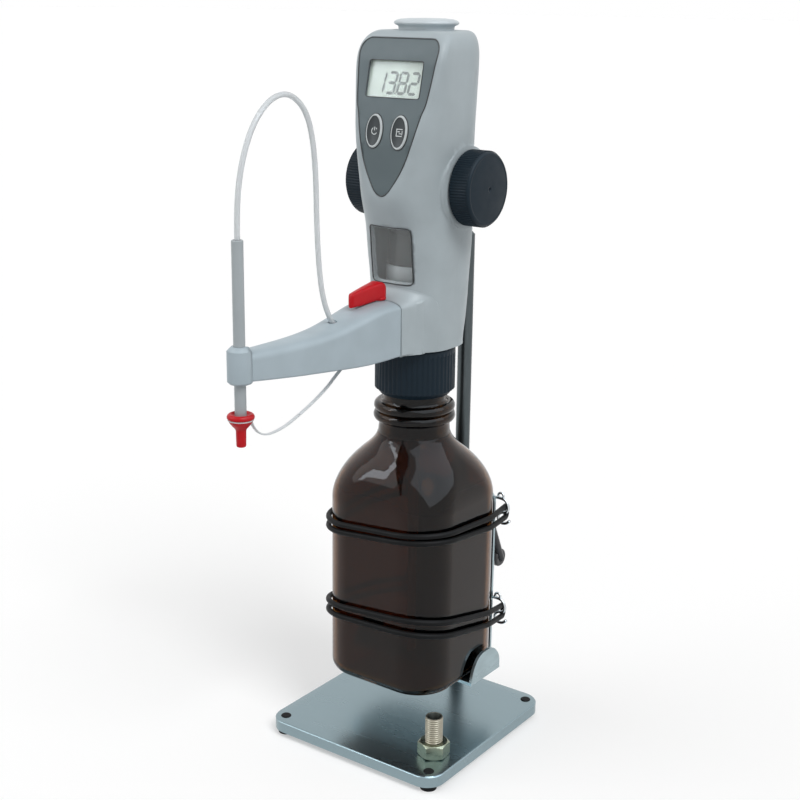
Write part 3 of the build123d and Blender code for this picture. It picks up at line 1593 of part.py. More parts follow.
with BuildPart() as dosing_tip:
    with BuildSketch(facing_front(tube_y)):
        with BuildLine():
            Polyline(
                (tip_bore_radius, tip_low),
                (tip_radius - 0.5, tip_low),
                (tip_radius, tip_low + 3),
                (tip_radius, tube_low),
                (tube_bore_radius - seat_gap, tube_low),
                (tube_bore_radius - seat_gap, tube_low + 5),
                (tip_radius, tube_low + 6),
                (tip_radius, tip_high - 5),
                (tube_bore_radius - seat_gap, tip_high - 4),
                (tube_bore_radius - seat_gap, tip_high),
                (tip_bore_radius, tip_high),
                close=True,
            )
        make_face()
    revolve(axis=tube_axis)

with BuildPart() as tip_cap:
    with BuildSketch(facing_front(tube_y)):
        with BuildLine():
            Polyline(
                (0, cap_stem_low),
                (cap_stem_radius - 0.6, cap_stem_low),
                (cap_stem_radius - 0.1, cap_stem_low + 0.6),
                (cap_stem_radius, cap_cone_low),
                (cap_neck_half, cap_ring_low),
                (cap_ring_radius - 0.9, cap_ring_low),
            )
            ThreePointArc(
                (cap_ring_radius - 0.9, cap_ring_low),
                (cap_ring_radius, (cap_ring_low + cap_ring_high) / 2),
                (cap_ring_radius - 1.1, cap_ring_high),
            )
            Polyline(
                (cap_ring_radius - 1.1, cap_ring_high),
                (cap_ring_radius - 2, cap_ring_high),
                (cap_ring_radius - 2.6, cap_ring_high - cap_recess),
                (tube_radius + slide_gap, cap_ring_high - cap_recess),
                (tube_radius + slide_gap, tube_low - slide_gap),
                (tip_radius + slide_gap * 2, tube_low - slide_gap),
                (tip_radius + slide_gap * 2, tip_low - 1),
                (0, tip_low - 1),
                (0, cap_stem_low),
            )
        make_face()
    revolve(axis=tube_axis)

with BuildPart() as tether_ring:
    with BuildSketch(level(cap_ring_low, 0, tube_y)):
        Circle(cap_ring_radius)
        Circle(cap_neck_half + seat_gap, mode=Mode.SUBTRACT)
    extrude(amount=-tether_ring_thickness)

with BuildPart() as tether_anchor:
    with BuildSketch(level(anchor_top, 0, axis_y - anchor_ahead)):
        Circle(anchor_radius * 0.55)
    extrude(amount=anchor_base - anchor_top)
    with BuildSketch(level(anchor_base, 0, axis_y - anchor_ahead)):
        Circle(anchor_radius)
    extrude(amount=-anchor_height)


def hand_radii(points):
    """An arc at each corner of a route: 0.45 of its shorter run over the tangent of half the turn."""
    radii = []
    for before, corner, after in zip(points, points[1:], points[2:]):
        first = Vector(*corner) - Vector(*before)
        second = Vector(*after) - Vector(*corner)
        turn = radians(first.get_angle(second))
        radii.append(0.45 * min(first.length, second.length) / tan(turn / 2))
    return radii


def side_route(points):
    """A route in the middle plane, given as distances ahead of the bottle axis and heights."""
    return [(0, axis_y - ahead, height) for ahead, height in points]


def limp_piece(name, route, width, thickness):
    """A tube, or a flat strap when it has a thickness, along straight runs joined by arcs."""
    radii = hand_radii(route)
    with BuildPart() as piece:
        with BuildLine() as path:
            FilletPolyline(*route, radius=radii)
        with BuildSketch(Plane(origin=path.line @ 0, x_dir=(1, 0, 0), z_dir=path.line % 0)):
            if thickness:
                Rectangle(width, thickness)
            else:
                Circle(width / 2)
        sweep(path=path.line)
    length = sum(edge.length for edge in path.line.edges())
    print(name, "radii", [round(radius, 1) for radius in radii], "length", round(length, 1))
    return piece


flexible_tubing = limp_piece("tubing", side_route(tubing_points), 2 * tubing_radius, 0)
tether_upper = limp_piece("upper tether", side_route(tether_upper_points), tether_width, tether_thickness)
tether_lower = limp_piece("lower tether", side_route(tether_lower_points), tether_width, tether_thickness)

# Every piece by its node name
pieces = {
    "base_plate": base_plate,
    "rubber_feet": rubber_feet,
    "stand_rod": stand_rod,
    "rod_screw": rod_screw,
    "hollow_stud": hollow_stud,
    "stud_nut": stud_nut,
    "bottle": bottle,
    "neck_gasket": neck_gasket,
    "threaded_collar": threaded_collar,
    "carrier_bracket": carrier_bracket,
    "clamp_disc": clamp_disc,
    "rod_clamp": rod_clamp,
    "bracket_screws": bracket_screws,
    "clamp_screw": clamp_screw,
    "clamp_lever": clamp_lever,
    "band_hooks": band_hooks,
    "elastic_bands": elastic_bands,
    "valve_block": valve_block,
    "filling_valve": filling_valve,
    "suction_tube": suction_tube,
    "telescopic_tube": telescopic_tube,
    "return_tube": return_tube,
    "cylinder_seat": cylinder_seat,
    "glass_cylinder": glass_cylinder,
    "piston_seal": piston_seal,
    "piston_head": piston_head,
    "toothed_rack": toothed_rack,
    "gear_frame": gear_frame,
    "counter_gear": counter_gear,
    "counter_shaft": counter_shaft,
    "axle": axle,
    "axle_pinion": axle_pinion,
    "axle_bushes": axle_bushes,
    "left_handwheel": left_handwheel,
    "right_handwheel": right_handwheel,
    "housing_front": housing_front,
    "housing_rear": housing_rear,
    "housing_screws": housing_screws,
    "inspection_window": inspection_window,
    "top_cap": top_cap,
    "display_panel": display_panel,
    "display_lens": display_lens,
    "lcd_module": lcd_module,
    "circuit_board": circuit_board,
    "power_button": power_button,
    "clear_button": clear_button,
    "button_switches": button_switches,
    "batteries": batteries,
    "discharge_arm": discharge_arm,
    "tip_holder": tip_holder,
    "valve_plug": valve_plug,
    "valve_lever": valve_lever,
    "titrating_tube": titrating_tube,
    "dosing_tip": dosing_tip,
    "tip_cap": tip_cap,
    "tether_ring": tether_ring,
    "tether_anchor": tether_anchor,
    "tether_upper": tether_upper,
    "tether_lower": tether_lower,
    "flexible_tubing": flexible_tubing,
}
os.makedirs("parts", exist_ok=True)
for name, piece in pieces.items():
    piece.part.label = name
    export_step(piece.part, f"parts/{name}.step")
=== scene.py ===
"""Digital burette on an amber bottle with a small rod stand: finishes, fine shapes and studio."""

import json
from math import cos, pi, radians, sin

import bmesh
import bpy
import numpy as np
from mathutils import Matrix, Vector


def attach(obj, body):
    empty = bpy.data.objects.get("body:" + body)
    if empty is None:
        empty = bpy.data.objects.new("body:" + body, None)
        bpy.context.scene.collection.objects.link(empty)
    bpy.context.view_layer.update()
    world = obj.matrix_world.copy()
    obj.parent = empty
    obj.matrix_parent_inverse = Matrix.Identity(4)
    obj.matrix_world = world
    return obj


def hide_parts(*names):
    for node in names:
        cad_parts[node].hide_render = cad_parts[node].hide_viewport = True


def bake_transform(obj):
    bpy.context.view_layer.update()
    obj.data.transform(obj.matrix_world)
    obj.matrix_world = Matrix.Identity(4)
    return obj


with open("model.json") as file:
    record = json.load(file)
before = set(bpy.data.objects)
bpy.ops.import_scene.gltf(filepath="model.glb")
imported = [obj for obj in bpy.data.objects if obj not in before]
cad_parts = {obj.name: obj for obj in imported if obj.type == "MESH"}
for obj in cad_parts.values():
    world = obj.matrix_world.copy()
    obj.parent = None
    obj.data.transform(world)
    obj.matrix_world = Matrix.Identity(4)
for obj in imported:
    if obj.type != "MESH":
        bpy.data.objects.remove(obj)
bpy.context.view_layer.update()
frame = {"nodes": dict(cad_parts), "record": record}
scene = bpy.context.scene
nodes = frame["nodes"]
slots = {part["node"]: part["material_slot"] for part in frame["record"]["subparts"]}
bodies = frame["record"]["behaviour"]["bodies"]
body_of = {name: body for body, names in bodies.items() for name in names}

millimetre = 0.001
square_corners = ((-1, -1), (1, -1), (1, 1), (-1, 1))

# Upright axes of the bottle, the titrating tube, the hollow stud and the roof's cap, in metres
axis_y = 0.05125
bottle_axis = (0, axis_y)
tube_axis = (0, axis_y - 0.171)
stud_axis = (0.051, axis_y - 0.044)
roof_axis = (0, axis_y + 0.0068)

# Camera, found from the photograph
camera_place = (0.519127, -0.685021, 0.501254)
camera_azimuth, camera_tilt, camera_roll = 35.804, 16.2275, 0.7075
camera_lens, sensor_width = 63.13, 36.0


def toward(azimuth, height):
    """The direction from the object to an azimuth (0 is the front, 90 the right) and a height."""
    turn, rise = radians(azimuth), radians(height)
    return Vector((sin(turn) * cos(rise), -cos(turn) * cos(rise), sin(rise)))


def new_object(name, data):
    """An object in the scene."""
    piece = bpy.data.objects.new(name, data)
    scene.collection.objects.link(piece)
    return piece


def add_camera():
    """The camera looks back along its azimuth and tilt, with a slight roll."""
    back, level = toward(camera_azimuth, camera_tilt), toward(camera_azimuth + 90, 0)
    above, roll = back.cross(level), radians(camera_roll)
    right = level * cos(roll) + above * sin(roll)
    up = above * cos(roll) - level * sin(roll)
    data = bpy.data.cameras.new("camera")
    data.lens = camera_lens
    data.sensor_width = sensor_width
    data.sensor_fit = "HORIZONTAL"
    data.clip_start = 0.01
    data.clip_end = 100
    camera = new_object("camera", data)
    turn = Matrix((right, up, back)).transposed().to_4x4()
    camera.matrix_world = Matrix.Translation(camera_place) @ turn
    scene.camera = camera


# Finishes. A noise pattern is read between two levels, past which few of its values lie; plastic is
# clouded at one scale in colour, by a share, and at another in gloss
pattern_span = (0.3, 0.7)
cloud_scale, cloud_share, gloss_scale = 45, 0.05, 160


def set_sockets(node, sockets):
    """Sockets of a node, named with underscores for spaces, get an output or a value each."""
    for name, value in sockets.items():
        socket = node.inputs[name.replace("_", " ")]
        if isinstance(value, bpy.types.NodeSocket):
            node.id_data.links.new(value, socket)
        else:
            socket.default_value = value


def dress(material, **sockets):
    """Sockets of the material's Principled shader are set."""
    set_sockets(material.node_tree.nodes["Principled BSDF"], sockets)


def add_node(tree, kind, output, **sockets):
    """An output of a new node whose sockets are set."""
    node = tree.nodes.new("ShaderNode" + kind)
    set_sockets(node, sockets)
    return node.outputs[output]


def mapped(tree, value, before, after):
    """A value carried over from one range to another."""
    ends = {"From_Min": before[0], "From_Max": before[1], "To_Min": after[0], "To_Max": after[1]}
    return add_node(tree, "MapRange", "Result", Value=value, **ends)


def new_material(name, colour, roughness, metallic=0.0, **sockets):
    """A Principled finish with constants on its own sockets."""
    material = bpy.data.materials.new(name)
    material.use_nodes = True
    base = (*colour, 1)
    dress(material, Base_Color=base, Roughness=roughness, Metallic=metallic, **sockets)
    return material


def noise(material, scale, detail, stretch=(1, 1, 1)):
    """A noise on object coordinates, with the pattern stretched along chosen axes."""
    tree = material.node_tree
    place = add_node(tree, "TexCoord", "Object")
    spread = add_node(tree, "Mapping", "Vector", Vector=place, Scale=stretch)
    return add_node(tree, "TexNoise", "Fac", Vector=spread, Scale=scale, Detail=detail)


def tint(colour, share):
    """The colour, lighter or darker by a share."""
    return (*(min(1.0, part * (1 + share)) for part in colour), 1)


def vary_colour(material, factor, low, high):
    """The base colour runs between two colours as the pattern does."""
    ramp = material.node_tree.nodes.new("ShaderNodeValToRGB")
    for element, position, colour in zip(ramp.color_ramp.elements, pattern_span, (low, high)):
        element.position = position
        element.color = colour
    set_sockets(ramp, {"Fac": factor})
    dress(material, Base_Color=ramp.outputs["Color"])


def vary_roughness(material, factor, low, high):
    """The roughness runs between two values as the pattern does."""
    dress(material, Roughness=mapped(material.node_tree, factor, pattern_span, (low, high)))


def add_bump(material, factor, height):
    """A fine relief of the given height, in metres."""
    relief = {"Strength": 1.0, "Distance": height, "Height": factor}
    dress(material, Normal=add_node(material.node_tree, "Bump", "Normal", **relief))


def deepen_above(material, colour, deep, low, high):
    """The base colour goes over into a deeper one between two heights, so the glass is darker
    above.
    """
    tree = material.node_tree
    place = add_node(tree, "TexCoord", "Object")
    height = add_node(tree, "SeparateXYZ", "Z", Vector=place)
    mix = tree.nodes.new("ShaderNodeMix")
    mix.data_type = "RGBA"
    share = mapped(tree, height, (low, high), (0, 1))
    set_sockets(mix, {"Factor": share, "A": (*colour, 1), "B": (*deep, 1)})
    dress(material, Base_Color=mix.outputs["Result"])


def moulded(name, colour, roughness, grain=2400, height=0.00001, sheen=0.5):
    """Moulded plastic: slight cloudiness in colour and gloss, and a fine texture."""
    material = new_material(name, colour, roughness, Specular_IOR_Level=sheen)
    cloud = noise(material, cloud_scale, 2)
    vary_colour(material, cloud, tint(colour, -cloud_share), tint(colour, cloud_share))
    gloss = noise(material, gloss_scale, 4)
    vary_roughness(material, gloss, roughness - 0.05, roughness + 0.06)
    add_bump(material, noise(material, grain, 2), height)
    return material


def metal(name, colour, roughness, stretch=(1, 1, 1), scale=300, height=0.000004, wear=1.0):
    """Bare or plated metal: streaks or clouds in tone and gloss, as strong as its wear."""
    material = new_material(name, colour, roughness, metallic=1.0)
    streak = noise(material, scale, 5, stretch)
    vary_colour(material, streak, tint(colour, -0.1 * wear), tint(colour, 0.08 * wear))
    gloss = noise(material, scale / 6, 4, stretch)
    vary_roughness(material, gloss, roughness - 0.08 * wear, roughness + 0.1 * wear)
    if height:
        add_bump(material, noise(material, scale * 3, 3, stretch), height)
    return material


housing_grey = moulded("housing_grey", (0.375, 0.43, 0.455), 0.42, sheen=0.35)
arm_grey = moulded("arm_grey", (0.375, 0.45, 0.495), 0.42, sheen=0.35)
cap_grey = moulded("cap_grey", (0.52, 0.58, 0.61), 0.38)
panel_grey = moulded(
    "panel_grey", (0.092, 0.122, 0.132), 0.36, grain=3000, height=0.000004, sheen=0.3
)
# Dark beads in the gaps round the panel, the display, the keys and the window: painted shade
painted_gap_shade = new_material("painted_gap_shade", (0.02, 0.024, 0.026), 0.3)
navy_plastic = moulded("navy_plastic", (0.006, 0.015, 0.024), 0.46, sheen=0.15)
valve_white = moulded("valve_white", (0.78, 0.79, 0.79), 0.35)
gear_plastic = moulded("gear_plastic", (0.72, 0.72, 0.66), 0.4)
piston_dark = moulded("piston_dark", (0.02, 0.024, 0.028), 0.3)
key_grey = moulded("key_grey", (0.03, 0.037, 0.04), 0.35, sheen=0.3)
board_green = moulded("board_green", (0.02, 0.16, 0.07), 0.4)
red_plastic = moulded("red_plastic", (0.50, 0.004, 0.010), 0.36, sheen=0.2)
rubber_black = moulded("rubber_black", (0.008, 0.009, 0.01), 0.6, height=0.000005, sheen=0.12)
gasket_black = moulded("gasket_black", (0.03, 0.03, 0.03), 0.6)
lever_black = moulded("lever_black", (0.02, 0.02, 0.023), 0.38)
band_rubber = moulded("band_rubber", (0.005, 0.0055, 0.006), 0.5, height=0.000005, sheen=0.12)
limp_clear = new_material("limp_clear", (0.72, 0.75, 0.77), 0.28, Transmission_Weight=0.25)
tubing_clear = new_material(
    "tubing_clear", (0.74, 0.77, 0.79), 0.22, Transmission_Weight=0.35, IOR=1.36,
)
key_rim_grey = moulded("key_rim_grey", (0.5, 0.54, 0.55), 0.3)
icon_white = moulded("icon_white", (0.6, 0.64, 0.64), 0.4)
stand_plate = metal("stand_plate", (0.262, 0.342, 0.372), 0.27, (1, 5, 1), 60, height=0, wear=0.12)
zinc_sheet = metal("zinc_sheet", (0.36, 0.45, 0.48), 0.3, (1, 1, 3), 60, height=0.0000015)
rod_steel = metal("rod_steel", (0.085, 0.1, 0.105), 0.36, (8, 8, 1), 160)
yellow_zinc = metal("yellow_zinc", (0.30, 0.33, 0.25), 0.28, (1, 1, 4), 300, height=0.000001)
stud_steel = metal("stud_steel", (0.36, 0.335, 0.27), 0.3, (1, 1, 4), 300, height=0.000001)
# Dark metal for the inside of the stud's bore: painted shade in the hollow
bore_painted_shade = metal("bore_painted_shade", (0.05, 0.055, 0.05), 0.45)
bright_disc = metal("bright_disc", (0.75, 0.76, 0.77), 0.22, (1, 1, 1), 200)
clamp_metal = moulded("clamp_metal", (0.05, 0.055, 0.06), 0.45)
screw_steel = metal("screw_steel", (0.55, 0.56, 0.57), 0.3)
hook_chrome = metal("hook_chrome", (0.62, 0.65, 0.67), 0.16)
bush_brass = metal("bush_brass", (0.68, 0.5, 0.22), 0.3)
battery_skin = metal("battery_skin", (0.16, 0.17, 0.2), 0.3)
sleeve_grey = moulded("sleeve_grey", (0.36, 0.4, 0.42), 0.34)
amber, deep_amber = (0.105, 0.04, 0.009), (0.016, 0.0065, 0.0016)
amber_glass = new_material("amber_glass", amber, 0.02, Transmission_Weight=1.0, IOR=1.33)
deepen_above(amber_glass, amber, deep_amber, 0.208, 0.221)
# The glass cylinder is tinted dark and half opaque: painted shade for the dark inside of the
# cylinder
clear_glass = new_material("clear_glass", (0.05, 0.06, 0.065), 0.05, Alpha=0.45)
lens_clear = new_material("lens_clear", (0.75, 0.8, 0.8), 0.04, Alpha=0.1)
tube_clear = new_material("tube_clear", (0.8, 0.84, 0.86), 0.25, Transmission_Weight=0.6, IOR=1.35)
lcd_glass = moulded("lcd_glass", (0.68, 0.79, 0.72), 0.25, grain=1200, height=0.000001)
digit_ink = moulded("digit_ink", (0.19, 0.23, 0.22), 0.4)
seat_pale = moulded("seat_pale", (0.42, 0.48, 0.5), 0.35)

# Which nodes have each finish
finishes = {
    name: finish
    for finish, names in (
        (stand_plate, "base_plate"),
        (rubber_black, "rubber_feet"),
        (rod_steel, "stand_rod clamp_screw counter_shaft axle"),
        (screw_steel, "rod_screw bracket_screws housing_screws button_switches"),
        (yellow_zinc, "hollow_stud stud_nut"),
        (amber_glass, "bottle"),
        (gasket_black, "neck_gasket piston_seal"),
        (navy_plastic, "threaded_collar left_handwheel right_handwheel"),
        (zinc_sheet, "carrier_bracket"),
        (bright_disc, "clamp_disc"),
        (clamp_metal, "rod_clamp"),
        (lever_black, "clamp_lever"),
        (hook_chrome, "band_hooks"),
        (band_rubber, "elastic_bands"),
        (valve_white, "valve_block filling_valve cylinder_seat valve_plug"),
        (tube_clear, "suction_tube telescopic_tube return_tube dosing_tip"),
        (clear_glass, "glass_cylinder"),
        (piston_dark, "piston_head"),
        (gear_plastic, "toothed_rack gear_frame counter_gear axle_pinion"),
        (bush_brass, "axle_bushes"),
        (housing_grey, "housing_front housing_rear"),
        (lens_clear, "inspection_window display_lens"),
        (cap_grey, "top_cap"),
        (panel_grey, "display_panel"),
        (lcd_glass, "lcd_module"),
        (board_green, "circuit_board"),
        (key_grey, "power_button clear_button"),
        (battery_skin, "batteries"),
        (arm_grey, "discharge_arm tip_holder tether_anchor"),
        (red_plastic, "valve_lever tip_cap"),
        (sleeve_grey, "titrating_tube"),
        (limp_clear, "tether_ring tether_upper tether_lower flexible_tubing"),
    )
    for name in names.split()
}


def paint(piece, material):
    """The piece gets one material."""
    piece.data.materials.clear()
    piece.data.materials.append(material)


def dress_solids():
    """Every solid keeps its shape and gets its finish."""
    for name, material in finishes.items():
        for place in nodes[name].material_slots:
            place.material = material


# Copies of the solids: edges that turn by more degrees stay sharp, points nearer than this reach
# are merged, in metres, and large faces have this weight in the shading
copy_sharp, weld_reach, face_weight = 35, 0.000002, 80


def apply_modifiers(piece):
    """The piece's mesh becomes what its modifiers make of it."""
    depsgraph = bpy.context.evaluated_depsgraph_get()
    mesh = bpy.data.meshes.new_from_object(piece.evaluated_get(depsgraph))
    piece.modifiers.clear()
    piece.data = mesh


def smooth_copy(name):
    """A merged copy of a solid with its curved faces shaded smooth, in the solid's place."""
    piece = nodes[name].copy()
    piece.data = nodes[name].data.copy()
    piece.name = name + "_finished"
    scene.collection.objects.link(piece)
    weld = piece.modifiers.new("weld", "WELD")
    weld.merge_threshold = weld_reach
    apply_modifiers(piece)
    piece.data.shade_smooth()
    piece.data.set_sharp_from_angle(angle=radians(copy_sharp))
    weighted = piece.modifiers.new("weighted", "WEIGHTED_NORMAL")
    weighted.keep_sharp = True
    weighted.weight = face_weight
    paint(piece, finishes[name])
    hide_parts(name)
    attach(piece, body_of[name])
    return piece


def new_mesh(name, points, faces):
    """A mesh from points and faces."""
    mesh = bpy.data.meshes.new(name)
    mesh.from_pydata(np.asarray(points).tolist(), [], faces)
    return mesh


def outward(mesh):
    """Faces of a closed mesh are turned to point outwards."""
    shape = bmesh.new()
    shape.from_mesh(mesh)
    bmesh.ops.recalc_face_normals(shape, faces=shape.faces)
    shape.to_mesh(mesh)
    shape.free()


def make_piece(name, shape, finish, node, replaced=True, sharp=None, rides=True):
    """A closed mesh from points and faces. It has a node's body when it rides, and stands for its
    solid when that is replaced. Edges that turn by more than the sharp angle, in degrees, stay
    sharp."""
    mesh = new_mesh(name, *shape)
    mesh.validate()
    outward(mesh)
    mesh.shade_smooth()
    if sharp is not None:
        mesh.set_sharp_from_angle(angle=radians(sharp))
    piece = new_object(name, mesh)
    paint(piece, finish)
    if replaced:
        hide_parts(node)
    if rides:
        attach(piece, body_of[node])
    return piece


def paint_faces(piece, material, chosen):
    """The chosen faces of a piece get a second material."""
    piece.data.materials.append(material)
    index = np.zeros(len(piece.data.polygons), dtype=np.int32)
    index[chosen] = 1
    piece.data.polygons.foreach_set("material_index", index)


# Shapes: lines, sections, rings and the faces between them
def full_turn(count):
    """Angles evenly spaced round a circle."""
    return np.linspace(0, 2 * pi, count, endpoint=False)


def flattened(wave, power):
    """A cosine or sine raised to a power with its sign kept, as a superellipse has it."""
    return np.sign(wave) * np.abs(wave) ** power


def stacked(*columns):
    """Rows put together from columns, each an array or one number for all."""
    return np.stack(np.broadcast_arrays(*columns), axis=-1)


def circle(turn):
    """Points on a circle of radius one."""
    return stacked(np.cos(turn), np.sin(turn))


def round_section(radius, count=16):
    """A round section."""
    return radius * circle(full_turn(count))


def strap_section(width, thickness, count=20):
    """A flat strap with round edges: a superellipse of about the fourth power across its width and
    the third through its thickness."""
    return (width / 2, thickness / 2) * flattened(circle(full_turn(count)), (0.5, 0.7))


def unit(vectors):
    """Vectors of length one in the same directions."""
    return vectors / np.linalg.norm(vectors, axis=1)[:, None]


def travelled(points):
    """How far along a line of points each of them lies."""
    return np.concatenate([[0], np.cumsum(np.linalg.norm(np.diff(points, axis=0), axis=1))])


def cubic(knots, values, at):
    """A natural cubic spline through the knots, read at given places."""
    knots, values = np.asarray(knots, float), np.asarray(values, float)
    step = np.diff(knots)
    slope = np.diff(values) / step
    count = len(knots)
    system = np.eye(count)
    inner = np.arange(1, count - 1)
    system[inner, inner - 1] = step[:-1]
    system[inner, inner] = 2 * (step[:-1] + step[1:])
    system[inner, inner + 1] = step[1:]
    right = np.zeros(count)
    right[1:-1] = 6 * np.diff(slope)
    bend = np.linalg.solve(system, right)
    spot = np.clip(np.searchsorted(knots, at) - 1, 0, count - 2)
    width = step[spot]
    before, after = knots[spot + 1] - at, at - knots[spot]
    return (
        (bend[spot] * before**3 + bend[spot + 1] * after**3) / (6 * width)
        + (values[spot] / width - bend[spot] * width / 6) * before
        + (values[spot + 1] / width - bend[spot + 1] * width / 6) * after
    )


def tube_rings(line, section, across=(1.0, 0.0, 0.0)):
    """Rings of a section carried along a line in a plane: the section's first number goes along the
    plane's normal, its second along the line's normal in that plane."""
    along = unit(np.gradient(line, axis=0))
    above = np.cross(across, along)
    return line[:, None] + section[None, :, :1] * across + section[None, :, 1:] * above[:, None]


def round_axis(radius, height, axis, turn):
    """Rows of points round an upright axis, by radius and height in millimetres at each turn."""
    x, y = axis
    radius, height = radius * millimetre, height * millimetre
    return stacked(x + radius * np.cos(turn), y + radius * np.sin(turn), height)


def turned(profile, axis, count=128):
    """Rings of a profile of (radius, height) in millimetres, carried round an upright axis."""
    profile = np.asarray(profile, float)
    return round_axis(profile[:, :1], profile[:, 1:], axis, full_turn(count))


def grid_faces(rows, columns, ring_rows=False, ring_columns=True):
    """Quads between neighbouring rows and columns of a grid, which may close to a ring."""
    row = np.arange(rows if ring_rows else rows - 1)[:, None]
    column = np.arange(columns if ring_columns else columns - 1)
    below, beside = (row + 1) % rows * columns, (column + 1) % columns
    row = row * columns
    quads = stacked(row + column, row + beside, below + beside, below + column)
    return quads.reshape(-1, 4).tolist()


def joined(rings):
    """Points and faces of a stack of rings whose last one joins the first."""
    return rings.reshape(-1, 3), grid_faces(*rings.shape[:2], ring_rows=True)


def capped(rings):
    """Points and faces of a stack of rings, its ends closed by a fan each."""
    rows, columns, _ = rings.shape
    points = np.concatenate([rings.reshape(-1, 3), rings[[0, -1]].mean(axis=1)])
    around = np.arange(columns)
    beside = (around + 1) % columns
    middle, last = rows * columns, (rows - 1) * columns
    faces = grid_faces(rows, columns) + stacked(middle, beside, around).tolist()
    return points, faces + stacked(middle + 1, last + around, last + beside).tolist()


def gathered(shapes):
    """Points and faces of several shapes in one."""
    all_points, all_faces, start = [], [], 0
    for points, faces in shapes:
        all_points.append(points)
        all_faces += [[start + corner for corner in face] for face in faces]
        start += len(points)
    return np.concatenate(all_points), all_faces


def slab(outline, low, high):
    """Points and faces of a flat slab over an outline of (right, up), between two heights."""
    count = len(outline)
    sides = [stacked(*outline.T, level) for level in (low, high)]
    faces = [list(range(count))[::-1], list(range(count, 2 * count))]
    faces += [[a, (a + 1) % count, count + (a + 1) % count, count + a] for a in range(count)]
    return np.concatenate(sides), faces


# Cords. Routes of (distance ahead of the bottle's axis, height) in millimetres
tubing_route = (
    (53, 294), (61.5, 294.6), (70.5, 296.4), (79.5, 300.4), (87, 307), (92.5, 315), (96.8, 325.5),
    (99.6, 339), (101.2, 355), (102.2, 372), (102.5, 388), (103.3, 403), (105.2, 418),
    (109.2, 431.5), (116.5, 440.8), (127.5, 446.4), (139.5, 444.8), (150, 438), (158.6, 427.6),
    (165.3, 413.5), (169.4, 397.5), (171, 380), (171, 362),
)
tubing_radius = 0.0016
tether_width, tether_thickness = 0.0024, 0.001
# Where a cord bends: from and to a distance ahead, and its height there, in metres
tubing_bend = (0.102, 0.168, 0.4)
# Halves of the tether: their routes, the bodies that each one joins and where it bends
tether_halves = {
    "upper": (
        ((80, 276.7), (85.4, 273.6), (91.1, 269.6), (99.8, 265.2), (109.4, 261), (119.8, 257.4)),
        ("head", "titrating_tube"), (0.082, 0.1198, 0.27),
    ),
    "lower": (
        (
            (119.8, 257.4), (129.2, 254.15), (138.8, 252.4), (147, 252), (152.8, 253.2),
            (157.6, 256.2), (160.9, 260.3), (162.9, 264.4), (163.6, 266.9),
        ),
        ("titrating_tube", "cap"), (0.1198, 0.160, 0.257),
    ),
}


def route_line(name, route):
    """The smooth line of a route: a NURBS spline with the route's points as its control points,
    read back as points in metres."""
    curve = bpy.data.curves.new(name, "CURVE")
    curve.dimensions = "3D"
    curve.resolution_u = 10
    spline = curve.splines.new("NURBS")
    spline.points.add(len(route) - 1)
    for point, (ahead, height) in zip(spline.points, route):
        point.co = (0, axis_y - ahead * millimetre, height * millimetre, 1)
    spline.order_u = 3
    spline.use_endpoint_u = True
    holder = new_object(name, curve)
    line = bpy.data.meshes.new_from_object(holder)
    points = np.empty(len(line.vertices) * 3)
    line.vertices.foreach_get("co", points)
    bpy.data.objects.remove(holder)
    return points.reshape(-1, 3)


def make_cord(name, line, section, finish, node):
    """A tube along a line. It has no parent, because it runs between two bodies."""
    return make_piece(name, capped(tube_rings(line, section)), finish, node, rides=False)


def bend_between(piece, body, next_body, start, end, height):
    """The piece's place is baked into its mesh; the bodies and the bend's start, end and height are
    not used.
    """
    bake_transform(piece)


def add_cords():
    """The titration tubing and the cap's tether in two halves, each a tube along its route."""
    line = route_line("tubing_line", tubing_route)
    section = round_section(tubing_radius)
    tubing = make_cord("titration_tubing", line, section, tubing_clear, "flexible_tubing")
    bend_between(tubing, "head", "titrating_tube", *tubing_bend)
    strap = strap_section(tether_width, tether_thickness)
    for half, (route, joined_bodies, bend) in tether_halves.items():
        line = route_line(half + "_tether_line", route)
        piece = make_cord("cap_tether_" + half, line, strap, limp_clear, "tether_" + half)
        bend_between(piece, *joined_bodies, *bend)


# Display. A sloping face of the head: how far ahead its middle is, its height and its tilt
display_face = (0.0248, 0.4493, radians(14.8))
key_face = (0.03385, 0.4185, radians(10.9))
module_half, module_span = (0.0214, 0.0124), (-0.003, 0)
window_half, window_span = (0.0203, 0.0113), (0.0002, 0.0008)

# Digits: their cell, the step from one to the next, their first corner, strokes and slant
cell_width, cell_height, cell_pitch = 0.0057, 0.0126, 0.0083
cell_left, cell_base = -0.0146, -0.0082
stroke_weight, stroke_gap, digit_lean = 0.0018, 0.00015, 0.1
ink_span = (0.00001, 0.00004)
dot_radius, dot_shift = 0.0007, 0.0001
display_numerals = (1, 3, 8, 2)
numerals_before_dot = 2

# Seven strokes of a digit in a cell 1 wide and 2 high, clockwise from the top with the middle last:
# centre and whether it lies flat
strokes = (
    (0.5, 2, True), (1, 1.5, False), (1, 0.5, False), (0.5, 0, True), (0, 0.5, False),
    (0, 1.5, False), (0.5, 1, True),
)
numeral_strokes = {1: (1, 2), 2: (0, 1, 6, 4, 3), 3: (0, 1, 6, 2, 3), 8: range(7)}


def on_face(shape, face):
    """A shape given as (right, up, out) on a sloping face of the head, in the shared frame."""
    points, faces = shape
    ahead, height, tilt = face
    right, up, out = np.asarray(points).T
    y = axis_y - ahead + up * sin(tilt) - out * cos(tilt)
    z = height + up * cos(tilt) + out * sin(tilt)
    return stacked(right, y, z), faces


def bar(x, y, width, height):
    """The corners of one upright rectangle about its middle."""
    return np.array([(x + a * width / 2, y + b * height / 2) for a, b in square_corners])


def add_plate(name, node, finish, half, span):
    """A flat rectangular plate on the display's face."""
    plate = slab(bar(0, 0, 2 * half[0], 2 * half[1]), *span)
    make_piece(name, on_face(plate, display_face), finish, node, sharp=0)


